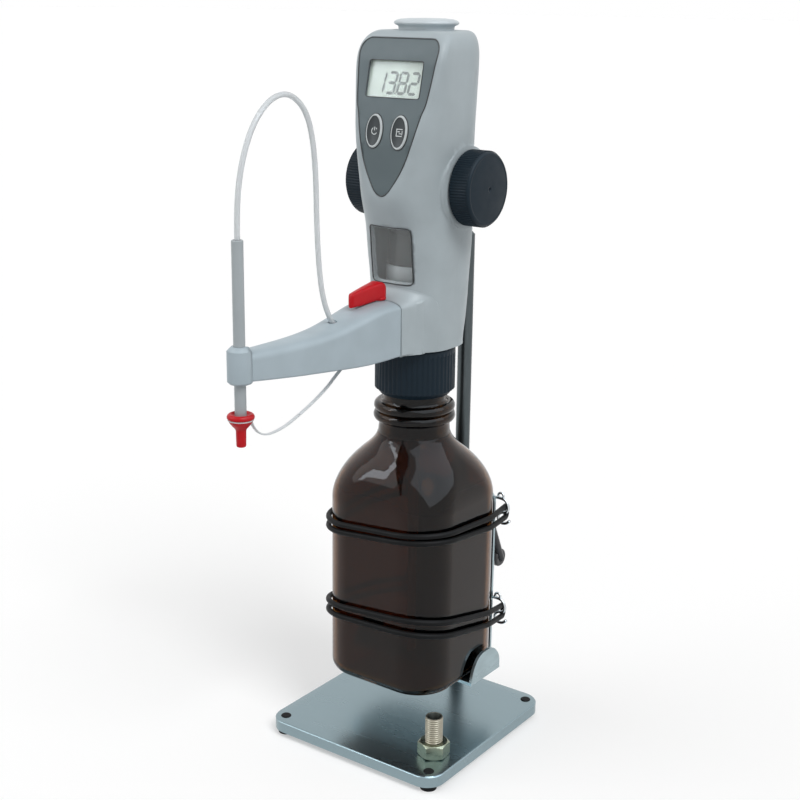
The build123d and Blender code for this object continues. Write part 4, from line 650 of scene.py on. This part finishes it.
def stroke_outline(centre_x, centre_y, lies):
    """A bar with pointed ends, lying or upright, slanted with its digit."""
    half = (cell_width if lies else cell_height / 2) / 2 - stroke_gap
    thin = stroke_weight / 2
    outline = np.array(
        [
            (-half, 0), (-half + thin, thin), (half - thin, thin),
            (half, 0), (half - thin, -thin), (-half + thin, -thin),
        ]
    )
    if not lies:
        outline = outline[:, ::-1] * (1, -1)
    outline = outline + (centre_x, centre_y)
    outline[:, 0] += (outline[:, 1] - cell_base) * digit_lean
    return outline


def add_digits():
    """Plain slanted seven-stroke numerals on the display, low and to the right."""
    outlines = []
    for place, numeral in enumerate(display_numerals):
        for stroke in numeral_strokes[numeral]:
            x, y, lies = strokes[stroke]
            x = cell_left + place * cell_pitch + x * cell_width
            outlines.append(stroke_outline(x, cell_base + y * cell_height / 2, lies))
    gap_middle = cell_left + numerals_before_dot * cell_pitch - (cell_pitch - cell_width) / 2
    dot_place = (gap_middle + dot_shift, cell_base - dot_shift)
    outlines.append(round_section(dot_radius, 12) + dot_place)
    ink = on_face(gathered([slab(outline, *ink_span) for outline in outlines]), display_face)
    make_piece("display_digits", ink, digit_ink, "display_panel", replaced=False, sharp=0)


# Keys: ovals whose wall, rim and dish are given as (inset from the edge, out), in metres
key_x = 0.0095
key_half = (0.0062, 0.0104)
key_profile = (
    (0, -0.0016), (0, 0.0004), (0.0001, 0.00065), (0.0003, 0.0008), (0.0011, 0.00078),
    (0.0012, 0.00068), (0.0013, 0.00056),
)
key_dish, key_lean = 0.0005, 0.0004
rim_rows = 5
sign_inset, sign_span = 0.001, (-0.00005, 0.00004)
sign_line = 0.0005


def add_key(name, node, side, outlines):
    """An oval key: a wall up from behind the panel, a light rounded rim, and a dark middle dished
    as a paraboloid and set a little to the left, with a pale sign printed on it."""
    half = np.array(key_half)
    inset, out = np.array(key_profile).T
    share = np.linspace(0.98, 0.04, 12)
    halves = np.concatenate([half - inset[:, None], (half - inset[-1]) * share[:, None]])
    height = np.concatenate([out, out[-1] - key_dish * (1 - share**2)])[:, None]
    shift = np.interp(np.arange(len(height)), (3, 5), (0, -key_lean))[:, None]
    turn = full_turn(96)
    across = side * key_x + shift + halves[:, :1] * np.cos(turn)
    rings = stacked(across, halves[:, 1:] * np.sin(turn), height)
    key = make_piece(name, on_face(capped(rings), key_face), key_rim_grey, node)
    columns, wall = len(turn), (len(rings) - 1) * len(turn)
    dished = np.r_[rim_rows * columns : wall, wall + columns : wall + 2 * columns]
    paint_faces(key, key_grey, dished)
    points, faces = gathered([slab(outline, *sign_span) for outline in outlines])
    reach = points[:, :2] / (half - sign_inset)
    points[:, 2] += out[-1] - key_dish * (1 - (reach**2).sum(axis=1))
    points[:, 0] += side * key_x
    sign = on_face((points, faces), key_face)
    make_piece(name + "_icon", sign, icon_white, node, replaced=False, sharp=0)


def arc_strip(radius, first, last, count=20):
    """Outlines of four corners along an arc, from one angle to another in degrees."""
    edge = circle(np.radians(np.linspace(first, last, count + 1)))
    inner, outer = edge * (radius - sign_line / 2), edge * (radius + sign_line / 2)
    return [np.array([inner[k], outer[k], outer[k + 1], inner[k + 1]]) for k in range(count)]


power_sign = arc_strip(0.0021, 120, 420) + [bar(0, 0.0014, sign_line, 0.0022)]
clear_sign = [
    bar(0, 0.0021, 0.0047, sign_line), bar(0, -0.0021, 0.0047, sign_line),
    bar(-0.0021, 0, sign_line, 0.0037), bar(0.0021, 0, sign_line, 0.0037),
    bar(-0.0006, 0.0006, 0.0018, sign_line), bar(0.0006, -0.0006, 0.0018, sign_line),
]


# Arm, in millimetres. Its rows: how far ahead of the bottle's axis, half width, underside, top of
# the straight side and crown
arm_rows = (
    (38.5, 16.0, 279.3, 309.3, 314.4),
    (50.0, 15.5, 279.2, 308.9, 314.6),
    (70.0, 14.3, 279.5, 305.6, 311.8),
    (95.0, 12.6, 281.5, 301.4, 307.4),
    (130.0, 10.2, 284.9, 299.7, 305.8),
    (168.3, 7.3, 289.4, 300.9, 306.6),
)
arm_low_round, arm_top_power = 1.3, 2.4
# The rounded edge of its ends: how far each ring is drawn in, and how far it is from the end
arm_end_round = 0.5
arm_end_rings = ((0.5, 0), (0.15, 0.15))
tubing_hole_ahead, tubing_hole_radius, tubing_hole_span = 0.0876, 2.8, (296, 320)


def arm_section(half, under, shoulder, crown):
    """An upright section, right half: a flat underside, a round lower edge, a straight side, and a
    top that is a quarter of a superellipse; the left half mirrors it."""
    quarter = np.linspace(0, pi / 2, 9)
    edge, start = half - arm_low_round, under + arm_low_round
    base = stacked(np.linspace(0, edge, 5)[:-1], under)
    low = (edge, start) + arm_low_round * circle(quarter)[:, ::-1] * (1, -1)
    side = stacked(half, np.linspace(start, shoulder, 8)[1:-1])
    arc = circle(np.linspace(0, pi / 2, 18)) ** (2 / arm_top_power)
    top = (0, shoulder) + (half, crown - shoulder) * arc
    right = np.concatenate([base, low, side, top])
    return np.concatenate([right, right[1:-1][::-1] * (-1, 1)])


def arm_at(ahead):
    """The arm's section at a distance ahead, its rows joined by natural cubic splines."""
    knots, *columns = np.array(arm_rows).T
    return arm_section(*[float(cubic(knots, column, ahead)) for column in columns])


def shrunk(section, inset):
    """A section moved inwards by about the inset, along the lines to its middle."""
    middle = (section.max(axis=0) + section.min(axis=0)) / 2
    half = (section.max(axis=0) - section.min(axis=0)) / 2
    return middle + (section - middle) * (1 - inset / half)


def upright(section, ahead):
    """A section of (across, height) set upright at a distance ahead."""
    return stacked(section[:, 0], ahead, section[:, 1])


def in_frame(points):
    """Points of (across, ahead of the axis, height) in millimetres, put into the shared frame."""
    return points * (millimetre, -millimetre, millimetre) + (0, axis_y, 0)


def cut_round(piece, ahead, radius, span):
    """An upright round hole cut into a piece between two heights."""
    rings = turned([(radius, height) for height in span], (0, axis_y - ahead), 48)
    cutter = new_object("cutter", new_mesh("cutter", *capped(rings)))
    outward(cutter.data)
    hole = piece.modifiers.new("hole", "BOOLEAN")
    hole.operation = "DIFFERENCE"
    hole.solver = "EXACT"
    hole.object = cutter
    apply_modifiers(piece)
    bpy.data.objects.remove(cutter)


def add_arm():
    """The discharge arm: its sections from root to end with small rounded end edges, and the hole
    that the tubing comes out of."""
    first, last = arm_rows[0][0], arm_rows[-1][0]
    inner = np.linspace(first + arm_end_round, last - arm_end_round, 90)
    ends = arm_end_rings
    rings = [upright(shrunk(arm_at(first), inset), first + back) for inset, back in ends]
    rings += [upright(arm_at(ahead), ahead) for ahead in inner]
    rings += [upright(shrunk(arm_at(last), inset), last - back) for inset, back in ends[::-1]]
    arm = make_piece("arm", capped(in_frame(np.array(rings))), arm_grey, "discharge_arm")
    cut_round(arm, tubing_hole_ahead, tubing_hole_radius, tubing_hole_span)
    arm.data.set_sharp_from_angle(angle=radians(50))


# Lower body, in millimetres: at these heights its front and its sides are so far out
body_heights = (279, 292, 308, 326, 344)
body_fronts = (28.0, 28.2, 28.4, 29.0, 30.8)
body_sides = (28.0, 28.2, 28.5, 29.0, 30.3)
body_flat_half, body_corner_depth = 4, 26

# Run from the body into the arm, in millimetres: where the arm's root is and its section, the
# part of it that the run covers (past this half width or height), the lowest height, how far the
# run spreads (less on top), how far its curves reach at their two ends, how it leans out at the
# root, how proud of the body it lies, and its thickness
lip_ahead, lip_root, lip_from, lip_low = 38.4, (16.2, 279.1, 309.3, 314.5), (13, 279.2), 279.02
lip_spread, lip_spread_loss = 10.4, 3.6
lip_body_reach, lip_root_reach = 2.6, 3.9
lip_lean = (0.5, 0.3)
lip_proud, lip_thickness, lip_inner_width = 0.06, 1.2, 0.98
slope_step = 0.4


def body_front(x, z):
    """How far the lower body stands ahead at a place: a flat front and elliptical corners."""
    front = np.interp(z, body_heights, body_fronts)
    side = np.interp(z, body_heights, body_sides)
    share = np.clip((np.abs(x) - body_flat_half) / (side - body_flat_half), 0, 0.999)
    return front - body_corner_depth * (1 - np.sqrt(1 - share**2)) + lip_proud


def add_lip_blend():
    """The smooth run from the body into the arm's root: cubic curves of four control points that
    leave the root's section straight back and meet the body along its own surface, round the sides
    and the top."""
    root = arm_section(*lip_root)
    right = root[: len(root) // 2 + 1]
    upper = right[(right[:, 0] > lip_from[0]) | (right[:, 1] > lip_from[1])]
    upper = np.concatenate([upper, upper[:-1][::-1] * (-1, 1)])
    run = np.gradient(upper, axis=0)
    normal = unit(run[:, ::-1] * (1, -1))
    spread = lip_spread - lip_spread_loss * np.clip(normal[:, 1:], 0, 1) ** 2
    foot = upper + normal * spread
    foot[:, 1] = np.maximum(foot[:, 1], lip_low)
    near = foot - normal * lip_body_reach
    near[:, 1] = np.maximum(near[:, 1], lip_low)
    front = body_front(foot[:, 0], foot[:, 1])
    climb = (body_front(foot[:, 0] - normal[:, 0] * slope_step, foot[:, 1]) - front) / slope_step
    start = upright(upper, lip_ahead)
    lean = upright(upper + normal * lip_lean, lip_ahead - lip_root_reach)
    pull = upright(near, front + climb * lip_body_reach)
    end = upright(foot, front)
    share = np.linspace(0, 1, 20)[:, None, None]
    rest = 1 - share
    sheet = start * rest**3 + 3 * lean * share * rest**2 + 3 * pull * share**2 * rest
    sheet += end * share**3
    inner = sheet * (lip_inner_width, 1, 1) - (0, lip_thickness, 0)
    points = in_frame(np.concatenate([sheet.reshape(-1, 3), inner.reshape(-1, 3)]))
    rows, columns, _ = sheet.shape
    one_side = rows * columns
    faces = np.array(grid_faces(rows, columns, ring_columns=False))
    faces = faces.tolist() + (faces[:, ::-1] + one_side).tolist()
    place = np.arange(one_side).reshape(rows, columns)
    rim = np.concatenate([place[0], place[1:, -1], place[-1, -2::-1], place[-2:0:-1, 0]])
    after = np.roll(rim, -1)
    faces += stacked(after, rim, rim + one_side, after + one_side).tolist()
    node = "housing_front"
    make_piece("arm_root_blend", (points, faces), housing_grey, node, replaced=False, sharp=60)


# Lever, in millimetres: its hub, its tip, and the heights of its base, back, tip and heel. Its base
# drops a little past the hub
lever_ahead, lever_hub_radius = 42.0, 5.3
lever_tip_ahead, lever_tip_half, lever_tip_round = 70.4, 2.0, 1.6
lever_base, lever_top, lever_tip_top, lever_heel_top = 315.0, 326.4, 322.6, 321.0
lever_narrowing, lever_power, lever_tip_height = 0.75, 5, 0.35
lever_drop, lever_drop_start, lever_drop_length = 0.9, 6, 12
hub_profile = ((5.0, 315), (5.3, 315.3), (5.3, 316.6), (5.0, 316.9))


def add_lever():
    """The red valve lever: sections across its length that are superellipses, as wide as a round
    hub at its root and narrowing to a blunt tip, with a back that rises over the hub."""
    heel = lever_ahead - lever_hub_radius
    share = (1 - np.cos(np.linspace(0, pi, 64))) / 2
    ahead = heel + (lever_tip_ahead - heel) * share
    past_hub = ahead - lever_ahead
    out = np.clip(past_hub / (lever_tip_ahead - lever_ahead), 0, 1)
    straight = lever_hub_radius + (lever_tip_half - lever_hub_radius) * out**lever_narrowing
    hub = np.sqrt(np.maximum(lever_hub_radius**2 - np.minimum(past_hub, 0) ** 2, 0))
    into_tip = np.clip((ahead - lever_tip_ahead + lever_tip_round) / lever_tip_round, 0, 1)
    blunt = np.sqrt(1 - into_tip**2)
    half = (np.minimum(straight, hub) * blunt)[:, None]
    top = cubic(
        (heel, lever_ahead - 2, lever_ahead + 4, lever_ahead + 14, lever_tip_ahead),
        (lever_heel_top, lever_top - 1.2, lever_top, lever_top - 1.3, lever_tip_top), ahead,
    )
    dropped = np.clip((past_hub - lever_drop_start) / lever_drop_length, 0, 1)
    base = lever_base - lever_drop * dropped
    top = base + (top - base) * (lever_tip_height + (1 - lever_tip_height) * blunt)
    turn = full_turn(40)
    x = half * flattened(np.cos(turn), 2 / lever_power)
    middle, rise = (top + base)[:, None] / 2, (top - base)[:, None] / 2
    z = middle + rise * flattened(np.sin(turn), 2 / lever_power)
    rings = in_frame(stacked(x, ahead[:, None], z))
    make_piece("red_lever", capped(rings), red_plastic, "valve_lever", sharp=60)
    hub_axis = (0, axis_y - lever_ahead * millimetre)
    hub_disc = capped(turned(hub_profile, hub_axis, 64))
    make_piece("red_lever_hub", hub_disc, red_plastic, "valve_lever", replaced=False, sharp=60)


# Caps and the tether's ring: profiles of (radius, height) in millimetres
roof_profile = (
    (0.1, 485.7), (6, 485.68), (12, 485.52), (16.5, 485.1), (19, 484.4), (20.2, 483.6),
    (20.5, 482.9), (20.3, 482.3), (19.4, 481.7), (18.2, 481.2), (17.6, 480.6), (17.5, 479.5),
    (17.5, 478), (0.1, 478),
)
tip_profile = (
    (0.01, 250.5), (2.2, 250.5), (2.7, 250.8), (2.85, 251.6), (2.95, 256), (3.0, 259.9),
    (3.15, 260.7), (3.6, 261.5), (5.1, 263.1), (6.3, 264.6), (6.95, 265.7), (7.1, 266.2),
    (7.1, 267.3), (7.6, 267.4), (7.95, 267.8), (8.0, 268.3), (7.9, 268.9), (7.5, 269.6),
    (6.9, 270.1), (6.3, 270.3), (5.8, 270.2), (5.2, 269.7), (4.6, 269.3), (3.5, 269.1),
    (3.5, 265.9), (1.7, 265.9), (1.7, 254), (0.01, 254),
)
ring_middle, ring_half = (7.3, 266.75), (0.32, 0.38)


def add_caps():
    """The button-like cap on the roof, a shallow lens with a thin edge over a short neck; the red
    cap on the tip, a stem, a cone and a rounded rim, hollow where the tube and the tip go in; and
    the thin ring of the tether in the groove under that rim, a small oval carried round."""
    roof_cap = capped(turned(roof_profile, roof_axis))
    make_piece("roof_cap", roof_cap, cap_grey, "top_cap", sharp=50)
    tip_cap = capped(turned(tip_profile, tube_axis))
    make_piece("red_cap", tip_cap, red_plastic, "tip_cap", sharp=40)
    oval = round_section(1, 12) * ring_half + ring_middle
    make_piece("tether_band", joined(turned(oval, tube_axis, 96)), limp_clear, "tether_ring")


# Stud and nut, in millimetres: the stud's bottom and top, its outside, bore, thread and bevels, and
# the nut's bottom and top, half the width over its flats, its turn, bore and bevels
stud_low, stud_high, stud_radius, stud_bore = 6, 40, 6, 4.5
thread_pitch, thread_depth, thread_rows = 1.5, 0.45, 220
stud_bevel, stud_bevel_height, bore_bevel = 0.4, 0.8, 0.3
nut_low, nut_high, nut_flats, nut_turn, nut_bore = 12, 22, 9.5, radians(37), 6.2
nut_bevel_rows = (0, 0.3, 0.6, 0.9, 1.2, 1.6)
nut_cone_start, nut_cone_slope = 0.95, 1.7


def add_stud():
    """The hollow stud: a tube with a screw thread outside, a radius that rises and falls with the
    height and the turn together, and a smooth bore inside."""
    turn = full_turn(64)
    height = np.linspace(stud_low, stud_high, thread_rows)[:, None]
    ridge = np.abs(2 * ((height / thread_pitch - turn / (2 * pi)) % 1) - 1)
    taper = np.clip((stud_high - height) / stud_bevel_height, 0, 1)
    outer = stud_radius - stud_bevel * (1 - taper) - thread_depth * (1 - ridge) * taper
    inner = np.array((stud_bore + bore_bevel, stud_bore, stud_bore))[:, None] + 0 * turn
    inner_height = np.array((stud_high, stud_high - bore_bevel, stud_low))[:, None]
    radius, height = np.concatenate([outer, inner]), np.concatenate([height, inner_height])
    tube = joined(round_axis(radius, height, stud_axis, turn))
    stud = make_piece("threaded_stud", tube, stud_steel, "hollow_stud", sharp=50)
    inside = slice(thread_rows * len(turn), (thread_rows + 2) * len(turn))
    # The bore gets the dark metal: painted shade inside the hollow stud
    paint_faces(stud, bore_painted_shade, inside)


def add_nut():
    """The hexagon nut: at each angle its radius is the hexagon's, or the end cones' where they are
    smaller, so both ends have the turned bevel of a real nut."""
    turn = full_turn(180)
    hexagon = nut_flats / np.cos((turn - nut_turn) % (pi / 3) - pi / 6)
    depth = np.array(nut_bevel_rows)
    height = np.concatenate([nut_low + depth, nut_high - depth[::-1]])
    from_end = np.minimum(height - nut_low, nut_high - height)
    cone = nut_flats * nut_cone_start + nut_cone_slope * from_end
    bore = np.full((1, len(turn)), nut_bore)
    radius = np.concatenate([bore, np.minimum(hexagon, cone[:, None]), bore])
    height = np.concatenate([height[:1], height, height[-1:]])[:, None]
    rings = round_axis(radius, height, stud_axis, turn)
    make_piece("hexagon_nut", joined(rings), yellow_zinc, "stud_nut", sharp=20)


# Bracket's tabs: they lie outside this x and above this height, with sheet edges this long
tab_inner_x, tab_low, sheet_thickness, tab_round = 0.0495, 0.047, 0.002, 0.0048


def is_tab_corner(edge):
    """Whether an edge is one of the short ones through the sheet at the corners of a side tab."""
    one, other = (vertex.co for vertex in edge.verts)
    outside = min(abs(one.x), abs(other.x)) > tab_inner_x
    through = abs(abs(one.x - other.x) - sheet_thickness) < 0.0001
    return outside and through and min(one.z, other.z) > tab_low


def round_tabs(piece):
    """The corners of the bracket's two side tabs are rounded."""
    shape = bmesh.new()
    shape.from_mesh(piece.data)
    bmesh.ops.dissolve_limit(shape, angle_limit=radians(1), verts=shape.verts, edges=shape.edges)
    corners = [edge for edge in shape.edges if is_tab_corner(edge)]
    bmesh.ops.bevel(shape, geom=corners, offset=tab_round, segments=8, profile=0.5, affect="EDGES")
    shape.to_mesh(piece.data)
    shape.free()
    piece.data.shade_smooth()
    piece.data.set_sharp_from_angle(angle=radians(copy_sharp))


# Hooks: the wire's line as (across, up) in millimetres, its two heights, how far behind the axis it
# hangs, and its wire and eye, in metres
hook_curve = (
    (29, 9.8), (34, 9.8), (39, 10), (43, 8.9), (45, 6), (45.4, 3), (43.9, 0.8), (41.5, 0),
    (39.3, -0.9), (37.6, -3), (37.6, -5.6), (39.5, -7.7), (42.6, -8), (45, -7), (46.9, -5.2),
)
hook_heights = (0.1535, 0.078)
hook_y = axis_y + 0.0506
hook_wire, eye_wire, eye_radius, eye_middle = 0.0011, 0.0009, 0.0021, (0.0392, 0.0118)


def add_hooks():
    """The four wire hooks, each an S that natural cubic splines of its chord length draw behind the
    bracket's plate, with a small ring for an eye at its top."""
    curve = np.asarray(hook_curve) * millimetre
    knots = travelled(curve)
    places = np.linspace(0, knots[-1], 120)
    wire = [cubic(knots, values, places) for values in curve.T]
    eye = (eye_middle + eye_radius * circle(np.linspace(0, 2 * pi, 49))).T
    wire_section, eye_section = round_section(hook_wire), round_section(eye_wire, 12)
    tubes = []
    for height in hook_heights:
        for side in (-1, 1):
            for (x, z), section in ((wire, wire_section), (eye, eye_section)):
                line = stacked(side * x, hook_y, height + z)
                tubes.append(capped(tube_rings(line, section, (0.0, 1.0, 0.0))))
    make_piece("wire_hooks", gathered(tubes), hook_chrome, "band_hooks")


# Collar: its skirt, below this height, is let down by this much, in metres
skirt_top, skirt_drop = 0.255, 0.003


def lower_skirt(piece):
    """The points of the collar's skirt are let down."""
    mesh = piece.data
    points = np.empty(len(mesh.vertices) * 3, dtype=np.float32)
    mesh.vertices.foreach_get("co", points)
    heights = points[2::3]
    heights[heights < skirt_top] -= skirt_drop
    mesh.vertices.foreach_set("co", points)
    mesh.update()


# Sleeve at the foot of the glass cylinder: its profile, in millimetres
sleeve_profile = ((18.95, 322.8), (19.9, 322.8), (19.9, 332.1), (19.6, 332.5), (18.95, 332.5))


def add_sleeve():
    """The pale sleeve round the foot of the glass cylinder, seen at the bottom of the window."""
    sleeve = joined(turned(sleeve_profile, bottle_axis))
    node = "cylinder_seat"
    make_piece("cylinder_sleeve", sleeve, seat_pale, node, replaced=False, sharp=60)


# Dark lines of painted shade in the gaps round the panel, the display, the keys and the window:
# edges past an angle in degrees with a face turned to the front by a share, in runs of so many
# points. The panel's outline is the tall one, the keys' are the narrow ones. Radii of the beads and
# the step along them, in metres
line_sharp, front_share, fewest_points = 40, 0.7, 9
panel_tall, key_wide = 0.06, 0.02
panel_shade_bead, key_shade_bead, display_shade_bead, window_shade_bead = 0.00042, 0.0004, 0.00028, 0.0004
bead_step, bead_sides = 0.0008, 8


def is_front_edge(edge):
    """Whether an edge is sharp and one of its two faces looks to the front."""
    faces = edge.link_faces
    if len(faces) != 2 or edge.calc_face_angle(0) <= radians(line_sharp):
        return False
    return max(-face.normal.y for face in faces) > front_share


def edge_loops(piece):
    """The closed runs of a piece's sharp front edges, each as its points in order."""
    shape = bmesh.new()
    shape.from_mesh(piece.data)
    shape.normal_update()
    links = {}
    for edge in filter(is_front_edge, shape.edges):
        one, other = edge.verts
        links.setdefault(one.index, []).append(other.index)
        links.setdefault(other.index, []).append(one.index)
    shape.verts.ensure_lookup_table()
    loops, used = [], set()
    for start in links:
        if start in used:
            continue
        run, ahead = [], [start]
        while ahead:
            run.append(ahead[0])
            used.add(ahead[0])
            ahead = [place for place in links[run[-1]] if place not in used]
        if len(run) >= fewest_points and start in links[run[-1]]:
            loops.append(np.array([shape.verts[place].co[:] for place in run]))
    shape.free()
    return loops


def add_shade_bead(name, loop, radius, node):
    """A thin round dark bead of painted shade along a closed run of points, evenly spaced along its
    length.
    """
    closed = np.concatenate([loop, loop[:1]])
    knots = travelled(closed)
    places = np.linspace(0, knots[-1], int(knots[-1] / bead_step) + 1)[:-1]
    line = stacked(*(np.interp(places, knots, values) for values in closed.T))
    for _ in range(2):
        line = (np.roll(line, 1, axis=0) + 2 * line + np.roll(line, -1, axis=0)) / 4
    along = unit(np.roll(line, -1, axis=0) - np.roll(line, 1, axis=0))
    across = unit(np.cross(along, (0.0, -1.0, 0.0)))
    above = np.cross(across, along)
    side, rise = round_section(radius, bead_sides).T[:, None, :, None]
    rings = line[:, None] + side * across[:, None] + rise * above[:, None]
    make_piece(name, joined(rings), painted_gap_shade, node, replaced=False)


def add_gap_shade_lines():
    """Dark lines of painted shade in the gaps round the panel, the display, the keys and the
    inspection window.
    """
    for place, loop in enumerate(edge_loops(copies["display_panel"])):
        wide, _, tall = np.ptp(loop, axis=0)
        radius = panel_shade_bead if tall > panel_tall else key_shade_bead if wide < key_wide else display_shade_bead
        add_shade_bead(f"panel_shade_line_{place}", loop, radius, "display_panel")
    panes = edge_loops(copies["inspection_window"])
    front_pane = min(panes, key=lambda loop: loop[:, 1].mean())
    add_shade_bead("window_shade_line", front_pane, window_shade_bead, "inspection_window")


# Studio
card_middle = (0, axis_y, 0.2)
daylight = (0.86, 0.93, 1.0)
floor_half, floor_grey, floor_glow = 30.0, 0.62, 0.38
room_light, room_white = 0.5, 1.0


def add_sheet(name, corners, material):
    """One flat face of the studio."""
    sheet = new_object(name, new_mesh(name, corners, [(0, 1, 2, 3)]))
    paint(sheet, material)
    return sheet


def add_card(name, azimuth, height, distance, width, tall, strength):
    """A glowing card that only glossy surfaces see, facing the bottle."""
    out, across = toward(azimuth, height), toward(azimuth + 90, 0)
    above = out.cross(across)
    middle = Vector(card_middle) + out * distance
    right, up = across * width / 2, above * tall / 2
    black, glow = (0, 0, 0), (*daylight, 1)
    material = new_material(name, black, 0.5, Emission_Color=glow, Emission_Strength=strength)
    card = add_sheet(name, [middle + right * a + up * b for a, b in square_corners], material)
    card.visible_camera = False
    card.visible_diffuse = False
    card.visible_transmission = False
    card.visible_shadow = False


def background_rays(tree):
    """One where the background is seen: by the camera, in gloss and through glass."""
    rays = tree.nodes.new("ShaderNodeLightPath").outputs
    seen = rays["Is Camera Ray"]
    for kind in ("Is Glossy Ray", "Is Transmission Ray"):
        either = tree.nodes.new("ShaderNodeMath")
        either.operation = "MAXIMUM"
        tree.links.new(seen, either.inputs[0])
        tree.links.new(rays[kind], either.inputs[1])
        seen = either.outputs[0]
    return seen


def add_floor():
    """A wide pale floor that looks near white and keeps the object's shadow."""
    grey, white = (floor_grey, floor_grey, floor_grey), (1, 1, 1, 1)
    material = new_material("floor", grey, 0.9, Specular_IOR_Level=0.0, Emission_Color=white)
    tree = material.node_tree
    dress(material, Emission_Strength=mapped(tree, background_rays(tree), (0, 1), (0, floor_glow)))
    add_sheet("floor", [(a * floor_half, b * floor_half, 0) for a, b in square_corners], material)


def add_world():
    """A white room: full white where it is seen, softer where it lights."""
    world = bpy.data.worlds.new("world")
    scene.world = world
    world.use_nodes = True
    tree = world.node_tree
    level = mapped(tree, background_rays(tree), (0, 1), (room_light, room_white))
    set_sockets(tree.nodes["Background"], {"Color": (1, 1, 1, 1), "Strength": level})


def add_sun(name, azimuth, height, strength, spread):
    """A distant soft lamp, seen from the object at an azimuth and a height."""
    data = bpy.data.lights.new(name, "SUN")
    data.energy = strength
    data.angle = radians(spread)
    lamp = new_object(name, data)
    lamp.rotation_euler = toward(azimuth, height).to_track_quat("Z", "Y").to_euler()


add_camera()
add_floor()
add_world()
add_sun("key_light", azimuth=70, height=50, strength=1.5, spread=25)
add_sun("fill_light", azimuth=-50, height=40, strength=0.7, spread=50)
add_card("window_card", azimuth=95, height=52, distance=1.2, width=1.7, tall=1.4, strength=2.6)
add_card("strip_card", azimuth=-41, height=40, distance=1.2, width=0.13, tall=1.0, strength=9.0)
scene.view_settings.view_transform = "Standard"

dress_solids()
own_pieces = (
    "lcd_module", "display_lens", "discharge_arm", "valve_lever", "top_cap", "hollow_stud",
    "stud_nut", "band_hooks", "flexible_tubing", "tether_upper", "tether_lower", "tip_cap",
    "tether_ring", "power_button", "clear_button",
)
copies = {name: smooth_copy(name) for name in slots if name not in own_pieces}
lower_skirt(copies["threaded_collar"])
round_tabs(copies["carrier_bracket"])
add_gap_shade_lines()
add_sleeve()
add_cords()
add_arm()
add_lip_blend()
add_lever()
add_caps()
add_stud()
add_nut()
add_hooks()
add_plate("display_module", "lcd_module", lcd_glass, module_half, module_span)
add_plate("display_window", "display_lens", lens_clear, window_half, window_span)
add_digits()
add_key("power_key", "power_button", -1, power_sign)
add_key("clear_key", "clear_button", 1, clear_sign)
